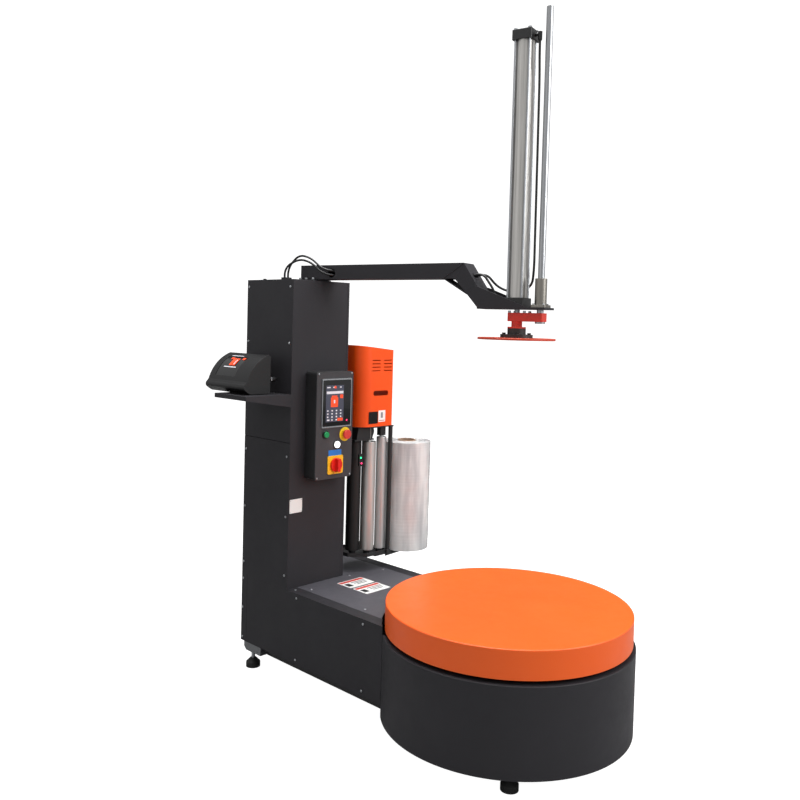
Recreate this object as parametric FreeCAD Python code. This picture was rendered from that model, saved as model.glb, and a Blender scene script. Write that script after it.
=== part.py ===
"""Turntable stretch-film wrapper with a pneumatic top press.

The model is built around the turntable axis (X = Y = 0) with the floor at Z = 0, the
column behind the turntable (+Y) and the operator in front and to the left (-Y, -X).
At the end every piece is moved so that the origin is the bottom centre of the whole box.
All sizes are millimetres.
"""
import FreeCAD, Part
import math
import os

V = FreeCAD.Vector

# ---------------------------------------------------------------- driving dimensions
SHEET = 2.5                 # wall of every bent cover
GAP = 0.5                   # clearance between a moving piece and a fixed one
FIT = 0.05                  # radial clearance of a shaft in its bush
SEAM = 1.0                  # joint line between two covers
COVER_FIT = 0.3             # base covers to the drum they close on

# turntable and drum
TABLE_R = 460.0
TABLE_TOP = 493.0
TABLE_SKIRT = 101.0
TABLE_PLATE = 6.0
DRUM_OVERHANG = 10.0        # the drum is this much wider than the turntable
DRUM_GAP = 15.0             # open ring between the turntable and the drum
DRUM_WALL = 3.0
TABLE_LIP = 14.0            # inward edge under the turntable skirt
DRUM_BOTTOM = 66.0
DRUM_LIP = 60.0             # shelf inside the top of the drum
DRUM_FOOT_LIP = 28.0

# machine base behind the drum
BASE_LEFT = -361.0
BASE_W = 592.0
BASE_REAR = 1187.0
BASE_BOTTOM = 112.0
BASE_TOP = 408.0
BASE_FLANGE = 56.0          # top flange of a side panel
REAR_COVER_D = 38.0

# frame and feet
FRAME_BOTTOM = 75.0
RAIL_H = 60.0
RAIL_W = 40.0
RAIL_INSET = 36.0           # base side to the near face of a rail
RAIL_FRONT = -300.0
TUBE_WALL = 3.0
CROSS_H = 40.0
CROSS_W = 60.0
CROSS_Y = 150.0
CROSS_INSET = 75.0          # drum wall to the end of a cross beam
REAR_BEAM_D = 120.0
REAR_BEAM_BACK = 22.0
FOOT_R = 31.0
FOOT_H = 38.0
STUD_R = 8.0
FOOT_INSET = 45.0           # rail end to the front foot

# weighing platform and drive under the turntable
CELL_L = 130.0
CELL_W = 36.0
CELL_H = 36.0
CELL_X = 255.0
PLATFORM_T = 8.0
PLATFORM_X = 352.0
PLATFORM_Y = 180.0
SLEW_BORE = 90.0
SLEW_SPLIT = 150.0          # radius of the joint between the two bearing rings
SLEW_RING = 40.0            # radial width of the fixed ring
SLEW_H = 30.0
HUB_PULLEY_R = 176.0
DRIVE_PULLEY_R = 35.0
PULLEY_RIM = 4.0
BELT_W = 30.0
BELT_T = 4.0
BELT_GAP = 0.4
MOTOR_X = 290.0
MOTOR_R = 55.0
GEARBOX_H = 66.0
SHAFT_R = 10.0

# column
COLUMN_W = 312.0
COLUMN_D = 317.0
COLUMN_H = 1294.0
TOP_PLATE_T = 3.0
SIDE_SPLIT = 614.0          # base top to the seam of the side covers
FRONT_RETURN = 11.0         # return edge at the right of the front panel
SLOT_W = 50.0
SLOT_SPARE_LOW = 30.0       # slot beyond the trolley at the ends of its travel
SLOT_SPARE_HIGH = 50.0
PLUG_R = 8.0
PLUG_H = 7.0

# mast inside the column
MAST_INSET = 41.0           # column's right side to the channels
MAST_W = 60.0
MAST_D = 30.0
MAST_T = 5.0
MAST_SETBACK = 65.0         # column front to the front channel
MAST_SPREAD = 158.0         # one channel to the other
LIFT_PULLEY_R = 30.0
LIFT_OFFSET = 40.0          # channels to the pulley's axis
LIFT_BELT_W = 25.0
LIFT_UP = 520.0
LIFT_DOWN = 50.0

# control panel
PANEL_INSET = 78.0
PANEL_W = 203.0
PANEL_D = 72.0
PANEL_UP = 459.0            # base top to the panel
PANEL_H = 453.0
PANEL_R = 12.0
DOOR_T = 5.0
SCREEN_W = 164.0
SCREEN_H = 206.0
STEM_R = 8.0
ESTOP_R = 20.0
START_R = 13.0
LAMP_R = 14.0
KNOB_R = 30.0
SWITCH_W = 86.0             # yellow plate under the main switch
SWITCH_H = 78.0
CONTROLS = {                # centres on the door, from its lower left corner
    "screen": (109.0, 321.0), "estop": (160.0, 185.0), "start": (52.0, 190.0),
    "lamp": (113.0, 144.0), "knob": (109.0, 58.0)}

# display terminal and its shelf
SHELF_UP = 817.0            # base top to the shelf
SHELF_OUT = 224.0
SHELF_L = 220.0
SHELF_T = 3.0
SHELF_WEB = 53.0
SHELF_LIP = 18.0
TERMINAL_SETBACK = 50.0
TERMINAL_L = 275.0
TERMINAL_D = 131.0
TERMINAL_H = 159.0
TERMINAL_BACK = 69.0        # column side to the back of the terminal

# carriage
CAR_GAP = 49.0              # column's right side to the carriage
CAR_FORWARD = 42.0          # the carriage stands this far in front of the column
CAR_W = 192.0
CAR_D = 190.0
CAR_UP = 69.0               # base top to the tray, at rest
TRAY_H = 16.0
COVER_UP = 588.0            # tray to the cover
COVER_H = 344.0
COVER_RISE = 20.0           # the cover's top climbs towards the column
COVER_R = 62.0
ROLLER_R = 32.0
ROLLER_GAP = 7.0            # roller end to its bearing
HEAD_UP = 523.0             # tray to the roller head plate
HEAD_T = 6.0
IDLER_R = 22.5
GUARD_R = 10.0
BACK_T = 6.0

# film roll
FILM_R = 113.0
FILM_W = 505.0
CORE_R = 42.0
CORE_WALL = 5.0
HOLDER_R = 62.0
HOLDER_T = 5.0

# press
BARREL_BORE = 31.5
BARREL_WALL = 2.5
BARREL_L = 939.0
CAP_H = 35.0
TIE_R = 4.0
ROD_R = 10.0
PISTON_T = 30.0
GUIDE_S = -92.0
GUIDE_R = 12.5
GUIDE_RISE = 75.0           # guide rod above the cylinder's top cap
BUSH_WALL = 9.5
BUSH_H = 106.0
BAR_BACK = 31.0             # cylinder axis to the rear end of the coupling bar
BAR_W = 45.0
BAR_DROP = 12.0             # mount plate to the coupling bar
BAR_H = 32.0
NECK_R = 20.0
NECK_H = 20.0
HUB_R = 34.0
PRESS_R = 144.0
PRESS_T = 8.0
PRESS_HANG = 113.0          # mount plate to the underside of the press plate
FLANGE_R = 60.0
FLANGE_T = 13.0
POST_R = 12.0

# air hoses
HOSE_R = 4.5
HOSE_X = 14.0               # ports and leg exits stand this far from the arm's middle
HOSE_ENTRY = 165.0          # arm's rear end to the hose entry
PORT_R = 6.0
PORT_DEPTH = 15.0
ELBOW_R = 8.0
ELBOW_OUT = 17.0            # top cap to the elbow's upright leg
ELBOW_DROP = 4.0            # elbow's mouth below the cap

# arm
CAP_GAP = 1.0               # cylinder cap to the cheeks of the arm
ARM_H = 60.0
ARM_WALL = 4.0
ARM_FOOT_T = 6.0
ARM_SHORT = 44.0            # column's middle to the rear end of the arm
ARM_KNEE_S = 210.0          # distances along the arm start at the turntable axis
ARM_DROP = 100.0            # column top to the mount plate's top
CHEEK_T = 5.0
MOUNT_T = 8.0
MOUNT_TIP_S = -130.0
MOUNT_ROOT_S = 144.0

# sizes worked out from the ones above
DRUM_R = TABLE_R + DRUM_OVERHANG
DRUM_TOP = TABLE_TOP - TABLE_SKIRT - DRUM_GAP
BASE_RIGHT = BASE_LEFT + BASE_W
BASE_MID = (BASE_LEFT + BASE_RIGHT) / 2
COLUMN_TOP = BASE_TOP + COLUMN_H
COLUMN_RIGHT = BASE_LEFT + COLUMN_W
COLUMN_FRONT = BASE_REAR - COLUMN_D
COLUMN_MID = ((BASE_LEFT + COLUMN_RIGHT) / 2, (COLUMN_FRONT + BASE_REAR) / 2)
SIDE_SPLIT_Z = BASE_TOP + SIDE_SPLIT
RAIL_TOP = FRAME_BOTTOM + RAIL_H
RAIL_X = (BASE_LEFT + RAIL_INSET, BASE_RIGHT - RAIL_INSET - RAIL_W)
BEAM_Y0 = BASE_REAR - REAR_BEAM_BACK - REAR_BEAM_D
CROSS_HALF = DRUM_R - CROSS_INSET
CROSS_TOP = RAIL_TOP + CROSS_H
PLATFORM_Z = CROSS_TOP + CELL_H
PLATFORM_TOP = PLATFORM_Z + PLATFORM_T
PULLEY_Z = PLATFORM_TOP + GEARBOX_H + 6.0 + 13.0
SLEW_R = SLEW_SPLIT + SLEW_RING
MAST_X1 = COLUMN_RIGHT - MAST_INSET
MAST_X0 = MAST_X1 - MAST_W
MAST_FRONT_Y = COLUMN_FRONT + MAST_SETBACK
MAST_REAR_Y = MAST_FRONT_Y + MAST_SPREAD
MAST_MID_Y = (MAST_FRONT_Y + MAST_REAR_Y + MAST_D) / 2
SLOT_Y0 = MAST_MID_Y - SLOT_W / 2
LIFT_PULLEY_X = MAST_X0 - LIFT_OFFSET
LIFT_PULLEY_Y = MAST_MID_Y - LIFT_BELT_W / 2 - 8.5
LIFT_Z0 = BASE_TOP + LIFT_PULLEY_R + 32.0
LIFT_Z1 = COLUMN_TOP - LIFT_PULLEY_R - 17.0
PANEL_X0 = BASE_LEFT + PANEL_INSET
PANEL_Z0 = BASE_TOP + PANEL_UP
PANEL_Y0 = COLUMN_FRONT - PANEL_D
SHELF_Z = BASE_TOP + SHELF_UP
TERMINAL_Y0 = COLUMN_FRONT + TERMINAL_SETBACK
CAR_X0 = COLUMN_RIGHT + CAR_GAP
CAR_X1 = CAR_X0 + CAR_W
CAR_Y0 = COLUMN_FRONT - CAR_FORWARD
CAR_Y1 = CAR_Y0 + CAR_D
CAR_Z0 = BASE_TOP + CAR_UP
TROLLEY_Z0 = CAR_Z0 + 163.0
TROLLEY_Z1 = TROLLEY_Z0 + 460.0
SLOT_Z0 = TROLLEY_Z0 - LIFT_DOWN - SLOT_SPARE_LOW
SLOT_Z1 = TROLLEY_Z1 + LIFT_UP + SLOT_SPARE_HIGH
COVER_Z0 = CAR_Z0 + COVER_UP
COVER_TOP = COVER_Z0 + COVER_H
HEAD_Z0 = CAR_Z0 + HEAD_UP
DECK_Z0 = COVER_Z0 - HEAD_T  # deck that carries the motor and the cover
ROLLER_Z0 = CAR_Z0 + TRAY_H + ROLLER_GAP
STEEL_ROLLER = (CAR_X0 + 100.0, CAR_Y0 + 50.0)
RUBBER_ROLLER = (STEEL_ROLLER[0] - 55.0, STEEL_ROLLER[1] + 37.0)
IDLER = (CAR_X0 + 160.0, CAR_Y0 + 31.0)
GUARD = (CAR_X1, CAR_Y0 + 6.0)
ROLL_X = CAR_X1 + FILM_R + 25.0
ROLL_Y = CAR_Y0 + 32.0
ROLL_Z0 = CAR_Z0 + 1.0
BARREL_R = BARREL_BORE + BARREL_WALL
TIE_PITCH = (BARREL_R + TIE_R + 2.0) * math.sqrt(2)
CAP_S = TIE_PITCH + 2 * (TIE_R + 6.7)
ARM_W = CAP_S + 2 * CAP_GAP
ARM_Z0 = COLUMN_TOP + ARM_FOOT_T
ARM_TOP = ARM_Z0 + ARM_H
ARM_ANGLE = math.degrees(math.atan2(-COLUMN_MID[0], COLUMN_MID[1]))
ARM_REAR_S = math.hypot(*COLUMN_MID) - ARM_SHORT
LEG_END_Z = COLUMN_TOP - ARM_DROP
CAP_Z0 = LEG_END_Z
BARREL_Z0 = CAP_Z0 + CAP_H
BARREL_Z1 = BARREL_Z0 + BARREL_L
GUIDE_TOP = BARREL_Z1 + CAP_H + GUIDE_RISE
BUSH_R = GUIDE_R + BUSH_WALL
BUSH_TOP = LEG_END_Z + BUSH_H
BAR_TOP = LEG_END_Z - MOUNT_T - BAR_DROP
BAR_Z0 = BAR_TOP - BAR_H
PRESS_Z = LEG_END_Z - MOUNT_T - PRESS_HANG

PARTS = {}


# ---------------------------------------------------------------- helpers
def box(x0, x1, y0, y1, z0, z1):
    """Block between two corners."""
    return Part.makeBox(x1 - x0, y1 - y0, z1 - z0, V(x0, y0, z0))


def rod(x, y, z0, z1, r):
    """Upright cylinder."""
    return Part.makeCylinder(r, z1 - z0, V(x, y, z0))


def ring(x, y, z0, z1, outer, inner):
    """Upright tube."""
    return rod(x, y, z0, z1, outer).cut(rod(x, y, z0 - 1, z1 + 1, inner))


def rod_along(start, direction, length, r):
    """Cylinder from a point along a direction."""
    return Part.makeCylinder(r, length, V(*start), V(*direction))


def prism(points, vector):
    """Flat outline pushed along a vector."""
    return Part.Face(Part.makePolygon([V(*p) for p in points + points[:1]])).extrude(V(*vector))


def revolve(points):
    """Closed (radius, height) outline turned about the turntable axis."""
    outline = [V(r, 0, z) for r, z in points]
    return Part.Face(Part.makePolygon(outline + outline[:1])).revolve(V(0, 0, 0), V(0, 0, 1), 360)


def fuse(shapes):
    """One solid from touching shapes."""
    return shapes[0].multiFuse(shapes[1:]).removeSplitter()


def cut(shape, tools):
    """Shape with every tool taken out of it."""
    for tool in tools:
        shape = shape.cut(tool)
    return shape


def rounded(shape, radius, direction):
    """Fillet of the straight edges that run along X, Y or Z."""
    edges = []
    for edge in shape.Edges:
        if edge.Curve.TypeId == "Part::GeomLine":
            way = edge.Vertexes[1].Point - edge.Vertexes[0].Point
            if abs(abs(way.normalize().dot(V(*direction))) - 1) < 1e-6:
                edges.append(edge)
    return shape.makeFillet(radius, edges)


def tube_box(x0, x1, y0, y1, z0, z1, wall, axis):
    """Rectangular tube open at both ends along an axis."""
    low = [x0 + wall, y0 + wall, z0 + wall]
    high = [x1 - wall, y1 - wall, z1 - wall]
    low[axis] -= 2 * wall
    high[axis] += 2 * wall
    return box(x0, x1, y0, y1, z0, z1).cut(box(low[0], high[0], low[1], high[1], low[2], high[2]))


def belt_loop(centre_a, radius_a, centre_b, radius_b, thickness):
    """Flat loop round two circles of one plane, as a face in X and Y at Z = 0."""
    def outline(extra):
        ra, rb = radius_a + extra, radius_b + extra
        a, b = V(*centre_a, 0), V(*centre_b, 0)
        span = (b - a).Length
        base = math.atan2(b.y - a.y, b.x - a.x)
        lean = math.acos((ra - rb) / span)

        def point(centre, radius, turn):
            return V(centre.x + radius * math.cos(turn), centre.y + radius * math.sin(turn), 0)
        up, low = base + lean, base - lean
        edges = [Part.makeLine(point(a, ra, up), point(b, rb, up)),
                 Part.Arc(point(b, rb, up), point(b, rb, base), point(b, rb, low)).toShape(),
                 Part.makeLine(point(b, rb, low), point(a, ra, low)),
                 Part.Arc(point(a, ra, low), point(a, ra, base + math.pi), point(a, ra, up)).toShape()]
        return Part.Face(Part.Wire(edges))
    return outline(thickness).cut(outline(0))


def on_arm(shape):
    """Turn a shape from arm axes (X across, Y towards the column) to its place."""
    shape = shape.copy()
    shape.rotate(V(0, 0, 0), V(0, 0, 1), ARM_ANGLE)
    return shape


def hose(points, radius):
    """Round hose along straight runs joined by tangent arcs."""
    pts = [V(*p) for p in points]
    edges = []
    start = pts[0]
    for before, here, after in zip(pts, pts[1:], pts[2:]):
        a, b = (before - here), (after - here)
        reach = 0.45 * min(a.Length, b.Length)
        half_turn = (math.pi - a.getAngle(b)) / 2
        bend = reach / math.tan(half_turn)
        a.normalize()
        b.normalize()
        first, last = here + a * reach, here + b * reach
        inward = (a + b).normalize()
        middle = here + inward * (bend / math.cos(half_turn) - bend)
        edges.append(Part.makeLine(start, first))
        edges.append(Part.Arc(first, middle, last).toShape())
        start = last
    edges.append(Part.makeLine(start, pts[-1]))
    path = Part.Wire(edges)
    way = pts[1] - pts[0]
    profile = Part.Wire([Part.Circle(pts[0], way, radius).toShape()])
    solid = path.makePipeShell([profile], True, False)
    print("hose", round(path.Length), "mm, volume ratio",
          round(solid.Volume / (math.pi * radius ** 2 * path.Length), 4))
    return solid


def add(name, *shapes):
    """Keep a node: one solid, or a group of separate ones."""
    PARTS[name] = shapes[0] if len(shapes) == 1 else Part.makeCompound(list(shapes))


# ---------------------------------------------------------------- frame, feet and drum
def base_frame():
    """Welded tubes: two rails, two drum cross beams and the front mast beam."""
    z0, z1 = FRAME_BOTTOM, RAIL_TOP
    rails = [tube_box(x, x + RAIL_W, RAIL_FRONT, BEAM_Y0, z0, z1, TUBE_WALL, 1) for x in RAIL_X]
    cross = [tube_box(-CROSS_HALF, CROSS_HALF, y - CROSS_W / 2, y + CROSS_W / 2, z1, CROSS_TOP, TUBE_WALL,
                      0)
             for y in (-CROSS_Y, CROSS_Y)]
    mast = tube_box(RAIL_X[0] + RAIL_W, RAIL_X[1], MAST_FRONT_Y - 15, MAST_FRONT_Y + MAST_D + 15,
                    z0, z1, TUBE_WALL, 0)
    studs = [rod(x, y, z0 - 1, z0 + TUBE_WALL + 1, STUD_R + 0.5) for x, y in foot_places()]
    return cut(fuse(rails + cross + [mast]), studs)


def foot_places():
    """Front pair under the rails, rear pair under the beam."""
    rail_mid = [x + RAIL_W / 2 for x in RAIL_X]
    rear_y = BEAM_Y0 + REAR_BEAM_D - FOOT_R
    front_y = RAIL_FRONT + FOOT_INSET
    return [(rail_mid[0], front_y), (rail_mid[1], front_y),
            (BASE_LEFT + FOOT_R, rear_y), (BASE_RIGHT - FOOT_R, rear_y)]


def rear_beam():
    """Bare steel tube under the back of the base; its ends show below the covers."""
    x0, x1 = BASE_LEFT + SHEET, BASE_RIGHT - SHEET
    y0, y1 = BEAM_Y0, BEAM_Y0 + REAR_BEAM_D
    beam = tube_box(x0, x1, y0, y1, FRAME_BOTTOM, RAIL_TOP, TUBE_WALL, 0)
    ends = [box(x0, x0 + TUBE_WALL, y0 + TUBE_WALL, y1 - TUBE_WALL, FRAME_BOTTOM + TUBE_WALL,
                RAIL_TOP - TUBE_WALL),
            box(x1 - TUBE_WALL, x1, y0 + TUBE_WALL, y1 - TUBE_WALL, FRAME_BOTTOM + TUBE_WALL,
                RAIL_TOP - TUBE_WALL)]
    beam = fuse([beam] + ends)
    studs = [rod(x, y, FRAME_BOTTOM - 1, FRAME_BOTTOM + TUBE_WALL + 1, STUD_R + 0.5) for x,
             y in foot_places()]
    corner = 16.0
    bevel = prism([(x0 - 1, y1 + 1, FRAME_BOTTOM - 1), (x0 - 1, y1 - corner, FRAME_BOTTOM - 1),
                   (x0 - 1, y1 + 1, FRAME_BOTTOM + corner)], (x1 - x0 + 2, 0, 0))
    bevel_wall = prism([(x0, y1, FRAME_BOTTOM + corner + 1),
                        (x0, y1 - TUBE_WALL, FRAME_BOTTOM + corner + 1),
                        (x0, y1 - corner - 1, FRAME_BOTTOM + TUBE_WALL), (x0, y1 - corner - 1,
                                                                          FRAME_BOTTOM)],
                       (x1 - x0, 0, 0))
    return cut(fuse([beam.cut(bevel), bevel_wall.cut(bevel)]), studs)


def feet():
    """Levelling feet: rubber pads with a dome, and threaded studs with lock nuts."""
    pads, studs = [], []
    for x, y in foot_places():
        pad = rod(x, y, 0, FOOT_H * 0.55, FOOT_R)
        dome = Part.makeCone(FOOT_R, STUD_R + 6, FOOT_H * 0.45, V(x, y, FOOT_H * 0.55))
        pads.append(cut(fuse([pad, dome]), [rod(x, y, FOOT_H - 14, FOOT_H + 1, STUD_R + 0.02)]))
        stem = rod(x, y, FOOT_H - 14, FRAME_BOTTOM + TUBE_WALL + 10, STUD_R)
        nut = hex_prism(x, y, FRAME_BOTTOM - 12, 12, 13.5)
        studs.append(fuse([stem, nut]))
    return pads, studs


def hex_prism(x, y, z, height, radius):
    """Hexagonal nut or bolt head, upright."""
    corners = [(x + radius * math.cos(k * math.pi / 3), y + radius * math.sin(k * math.pi / 3), z)
               for k in range(6)]
    return prism(corners, (0, 0, height))


def drum_skirt():
    """Rolled sheet round the turntable drive, open at the back where the base joins."""
    body = rod(0, 0, DRUM_BOTTOM, DRUM_TOP, DRUM_R)
    top = [e for e in body.Edges if e.Curve.TypeId == "Part::GeomCircle" and abs(e.BoundBox.ZMin - DRUM_TOP) < 0.01]
    body = body.makeChamfer(DRUM_WALL - 1, top)
    foot_z = FRAME_BOTTOM - DRUM_WALL
    skirt = cut(body, [rod(0, 0, FRAME_BOTTOM, DRUM_TOP - DRUM_WALL, DRUM_R - DRUM_WALL),
                       rod(0, 0, FRAME_BOTTOM, DRUM_TOP + 1, DRUM_R - DRUM_LIP),
                       rod(0, 0, DRUM_BOTTOM - 1, foot_z, DRUM_R - DRUM_WALL),
                       rod(0, 0, foot_z - 1, FRAME_BOTTOM + 1, DRUM_R - DRUM_FOOT_LIP)])
    mouth = box(BASE_LEFT + SHEET + 1, BASE_RIGHT - SHEET - 1, 0, DRUM_R + 1, DRUM_BOTTOM - 1,
                DRUM_TOP + 1)
    return skirt.cut(mouth)


# ---------------------------------------------------------------- base covers
def base_side_panels():
    """Left and right covers with a folded top flange, cut to follow the drum."""
    panels = []
    y1 = BASE_REAR - REAR_COVER_D - SEAM
    hollow = rod(0, 0, BASE_BOTTOM - 1, BASE_TOP + 1, DRUM_R + COVER_FIT)
    for x0, x1, f0, f1 in ((BASE_LEFT, BASE_LEFT + SHEET, BASE_LEFT, BASE_LEFT + BASE_FLANGE),
                           (BASE_RIGHT - SHEET, BASE_RIGHT, BASE_RIGHT - BASE_FLANGE, BASE_RIGHT)):
        wall = box(x0, x1, 0, y1, BASE_BOTTOM, BASE_TOP)
        flange = box(f0, f1, 0, y1, BASE_TOP - SHEET, BASE_TOP)
        panels.append(fuse([wall, flange]).cut(hollow))
    return panels


def base_top_plate():
    """Top cover between the side flanges, with an arc round the turntable."""
    x0, x1 = BASE_LEFT + BASE_FLANGE + SEAM, BASE_RIGHT - BASE_FLANGE - SEAM
    plate = box(x0, x1, 0, BASE_REAR - REAR_COVER_D - SEAM, BASE_TOP - SHEET, BASE_TOP)
    arc = rod(0, 0, BASE_TOP - 5, BASE_TOP + 1, DRUM_R + 4)
    well = box(x0 + 40, COLUMN_RIGHT - 8, COLUMN_FRONT + 20, BASE_REAR, BASE_TOP - 5, BASE_TOP + 1)
    return cut(plate, [arc, well])


def rear_covers():
    """U-shaped cover of the base and the flat back of the column."""
    y0 = BASE_REAR - REAR_COVER_D
    outer = box(BASE_LEFT, BASE_RIGHT, y0, BASE_REAR, BASE_BOTTOM, BASE_TOP)
    inner = box(BASE_LEFT + SHEET, BASE_RIGHT - SHEET, y0 - 1, BASE_REAR - SHEET, BASE_BOTTOM - 1,
                BASE_TOP - SHEET)
    back = box(BASE_LEFT + SHEET, COLUMN_RIGHT - SHEET, BASE_REAR - SHEET, BASE_REAR, BASE_TOP,
               COLUMN_TOP - TOP_PLATE_T)
    return outer.cut(inner), back


# ---------------------------------------------------------------- turntable and its drive
def load_cells():
    """Four shear-beam cells with a double bore, on spacer feet."""
    cells = []
    for sx in (-1, 1):
        for sy in (-1, 1):
            x, y = sx * CELL_X, sy * CROSS_Y
            block = box(x - CELL_L / 2, x + CELL_L / 2, y - CELL_W / 2, y + CELL_W / 2, CROSS_TOP + 2,
                        PLATFORM_Z - 2)
            bores = [rod_along((x + dx, y - CELL_W, CROSS_TOP + CELL_H / 2), (0, 1, 0), 2 * CELL_W, 9)
                     for dx in (-11, 11)]
            low = box(x - CELL_L / 2, x - CELL_L / 2 + 40, y - CELL_W / 2, y + CELL_W / 2, CROSS_TOP,
                      CROSS_TOP + 2)
            high = box(x + CELL_L / 2 - 40, x + CELL_L / 2, y - CELL_W / 2, y + CELL_W / 2,
                       PLATFORM_Z - 2, PLATFORM_Z)
            cells.append(fuse([cut(block, bores), low, high]))
    return cells


def weigh_platform():
    """Plate on the load cells that carries the slewing ring and the gearmotor."""
    plate = rounded(box(-PLATFORM_X, PLATFORM_X, -PLATFORM_Y, PLATFORM_Y, PLATFORM_Z, PLATFORM_TOP), 20,
                    (0, 0, 1))
    holes = [rod(MOTOR_X, 0, PLATFORM_Z - 1, PLATFORM_TOP + 1, MOTOR_R - 10),
             rod(0, 0, PLATFORM_Z - 1, PLATFORM_TOP + 1, SLEW_BORE - 10)]
    return cut(plate, holes)


def slew_ring():
    """Fixed outer ring of the turntable bearing."""
    body = ring(0, 0, PLATFORM_TOP, PLATFORM_TOP + SLEW_H, SLEW_R, SLEW_SPLIT + GAP)
    pockets = []
    for k in range(12):
        pocket = rod(SLEW_R - 12, 0, PLATFORM_TOP + SLEW_H - 6, PLATFORM_TOP + SLEW_H + 1, 6)
        pocket.rotate(V(0, 0, 0), V(0, 0, 1), 30 * k)
        pockets.append(pocket)
    return cut(body, pockets)


def table_hub():
    """Turned hub: inner bearing ring, belt pulley, neck and table flange in one piece."""
    bore, low = SLEW_BORE, PLATFORM_TOP + GAP
    split, top = SLEW_SPLIT, TABLE_TOP - TABLE_PLATE
    seat0, seat1 = PULLEY_Z, PULLEY_Z + BELT_W + 2
    rim = HUB_PULLEY_R + PULLEY_RIM
    neck = bore + 20
    return revolve([(bore, low), (split, low), (split, low + SLEW_H), (neck, low + SLEW_H),
                    (neck, seat0 - PULLEY_RIM), (rim, seat0 - PULLEY_RIM), (rim, seat0),
                    (HUB_PULLEY_R, seat0), (HUB_PULLEY_R, seat1), (rim, seat1), (rim, seat1 + PULLEY_RIM),
                    (neck, seat1 + PULLEY_RIM), (neck, top - 20), (neck + 120, top - 8), (neck + 120,
                                                                                          top),
                    (bore, top)])


def turntable_disc():
    """Orange pan: a flat top with a deep rolled skirt and ribs under it."""
    z0 = TABLE_TOP - TABLE_SKIRT
    under = TABLE_TOP - TABLE_PLATE
    pan = rod(0, 0, z0, TABLE_TOP, TABLE_R)
    top = [e for e in pan.Edges if e.Curve.TypeId == "Part::GeomCircle" and abs(e.BoundBox.ZMin - TABLE_TOP) < 0.01]
    pan = pan.makeFillet(TABLE_PLATE - 1.5, top)
    pan = pan.cut(rod(0, 0, z0 - 1, under, TABLE_R - DRUM_WALL))
    lip = ring(0, 0, z0, z0 + DRUM_WALL, TABLE_R - 1, TABLE_R - TABLE_LIP)
    ribs = []
    for k in range(6):
        rib = box(SLEW_BORE + 150, TABLE_R - 2, -3, 3, under - 40, under)
        rib.rotate(V(0, 0, 0), V(0, 0, 1), 60 * k + 30)
        ribs.append(rib)
    return fuse([pan, lip] + ribs)


def table_drive():
    """Gearmotor under the platform, drive pulley and the flat belt to the hub."""
    motor = fuse([rod(MOTOR_X, 0, FRAME_BOTTOM + 30, PLATFORM_Z, MOTOR_R - 12),
                  rod(MOTOR_X, 0, PLATFORM_Z - 14, PLATFORM_Z, MOTOR_R),
                  rod(MOTOR_X, 0, PLATFORM_Z, PLATFORM_TOP, MOTOR_R - 10.5),
                  rounded(box(MOTOR_X - 50, MOTOR_X + 50, -50, 50, PLATFORM_TOP,
                              PLATFORM_TOP + GEARBOX_H), 10, (0, 0, 1)),
                  rod(MOTOR_X, 0, PLATFORM_TOP + GEARBOX_H, PLATFORM_TOP + GEARBOX_H + 6, 28)])
    seat0, seat1 = PULLEY_Z, PULLEY_Z + BELT_W + 2
    shaft = rod(MOTOR_X, 0, PLATFORM_TOP + GEARBOX_H + 6 + GAP, seat1 + 14, SHAFT_R)
    wheel = fuse([rod(MOTOR_X, 0, seat0 - PULLEY_RIM, seat0, DRIVE_PULLEY_R + PULLEY_RIM),
                  rod(MOTOR_X, 0, seat0, seat1, DRIVE_PULLEY_R),
                  rod(MOTOR_X, 0, seat1, seat1 + PULLEY_RIM, DRIVE_PULLEY_R + PULLEY_RIM), shaft])
    keyway = box(MOTOR_X - 3, MOTOR_X + 3, SHAFT_R - 3, SHAFT_R + 1, seat1 + PULLEY_RIM, seat1 + 15)
    loop = belt_loop((0, 0), HUB_PULLEY_R + BELT_GAP, (MOTOR_X, 0), DRIVE_PULLEY_R + BELT_GAP, BELT_T)
    belt = loop.extrude(V(0, 0, BELT_W))
    belt.translate(V(0, 0, PULLEY_Z + 1))
    return motor, wheel.cut(keyway), belt


# ---------------------------------------------------------------- column
def column_side_covers():
    """Upper and lower left covers with a seam between them."""
    x0, x1 = BASE_LEFT, BASE_LEFT + SHEET
    top = COLUMN_TOP - TOP_PLATE_T
    return [box(x0, x1, COLUMN_FRONT, BASE_REAR, BASE_TOP, SIDE_SPLIT_Z - SEAM),
            box(x0, x1, COLUMN_FRONT, BASE_REAR, SIDE_SPLIT_Z + SEAM, top)]


def column_front_panel():
    """Front sheet of the column, with openings for the panel's wiring."""
    x0, x1 = BASE_LEFT + SHEET, COLUMN_RIGHT - FRONT_RETURN - SEAM
    sheet = box(x0, x1, COLUMN_FRONT, COLUMN_FRONT + SHEET, BASE_TOP, COLUMN_TOP - TOP_PLATE_T)
    middle_z = PANEL_Z0 + PANEL_H / 2
    wiring = box(PANEL_X0 + 60, PANEL_X0 + 140, COLUMN_FRONT - 1, COLUMN_FRONT + 5, middle_z - 60,
                 middle_z + 60)
    return sheet.cut(wiring)


def column_right_panel():
    """Right sheet with the slot that the carriage bracket moves in, and a front return."""
    top = COLUMN_TOP - TOP_PLATE_T
    sheet = box(COLUMN_RIGHT - SHEET, COLUMN_RIGHT, COLUMN_FRONT, BASE_REAR, BASE_TOP, top)
    edge = box(COLUMN_RIGHT - FRONT_RETURN, COLUMN_RIGHT, COLUMN_FRONT, COLUMN_FRONT + SHEET, BASE_TOP,
               top)
    slot = box(COLUMN_RIGHT - 5, COLUMN_RIGHT + 1, SLOT_Y0, SLOT_Y0 + SLOT_W, SLOT_Z0, SLOT_Z1)
    return fuse([sheet, edge]).cut(slot)


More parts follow.
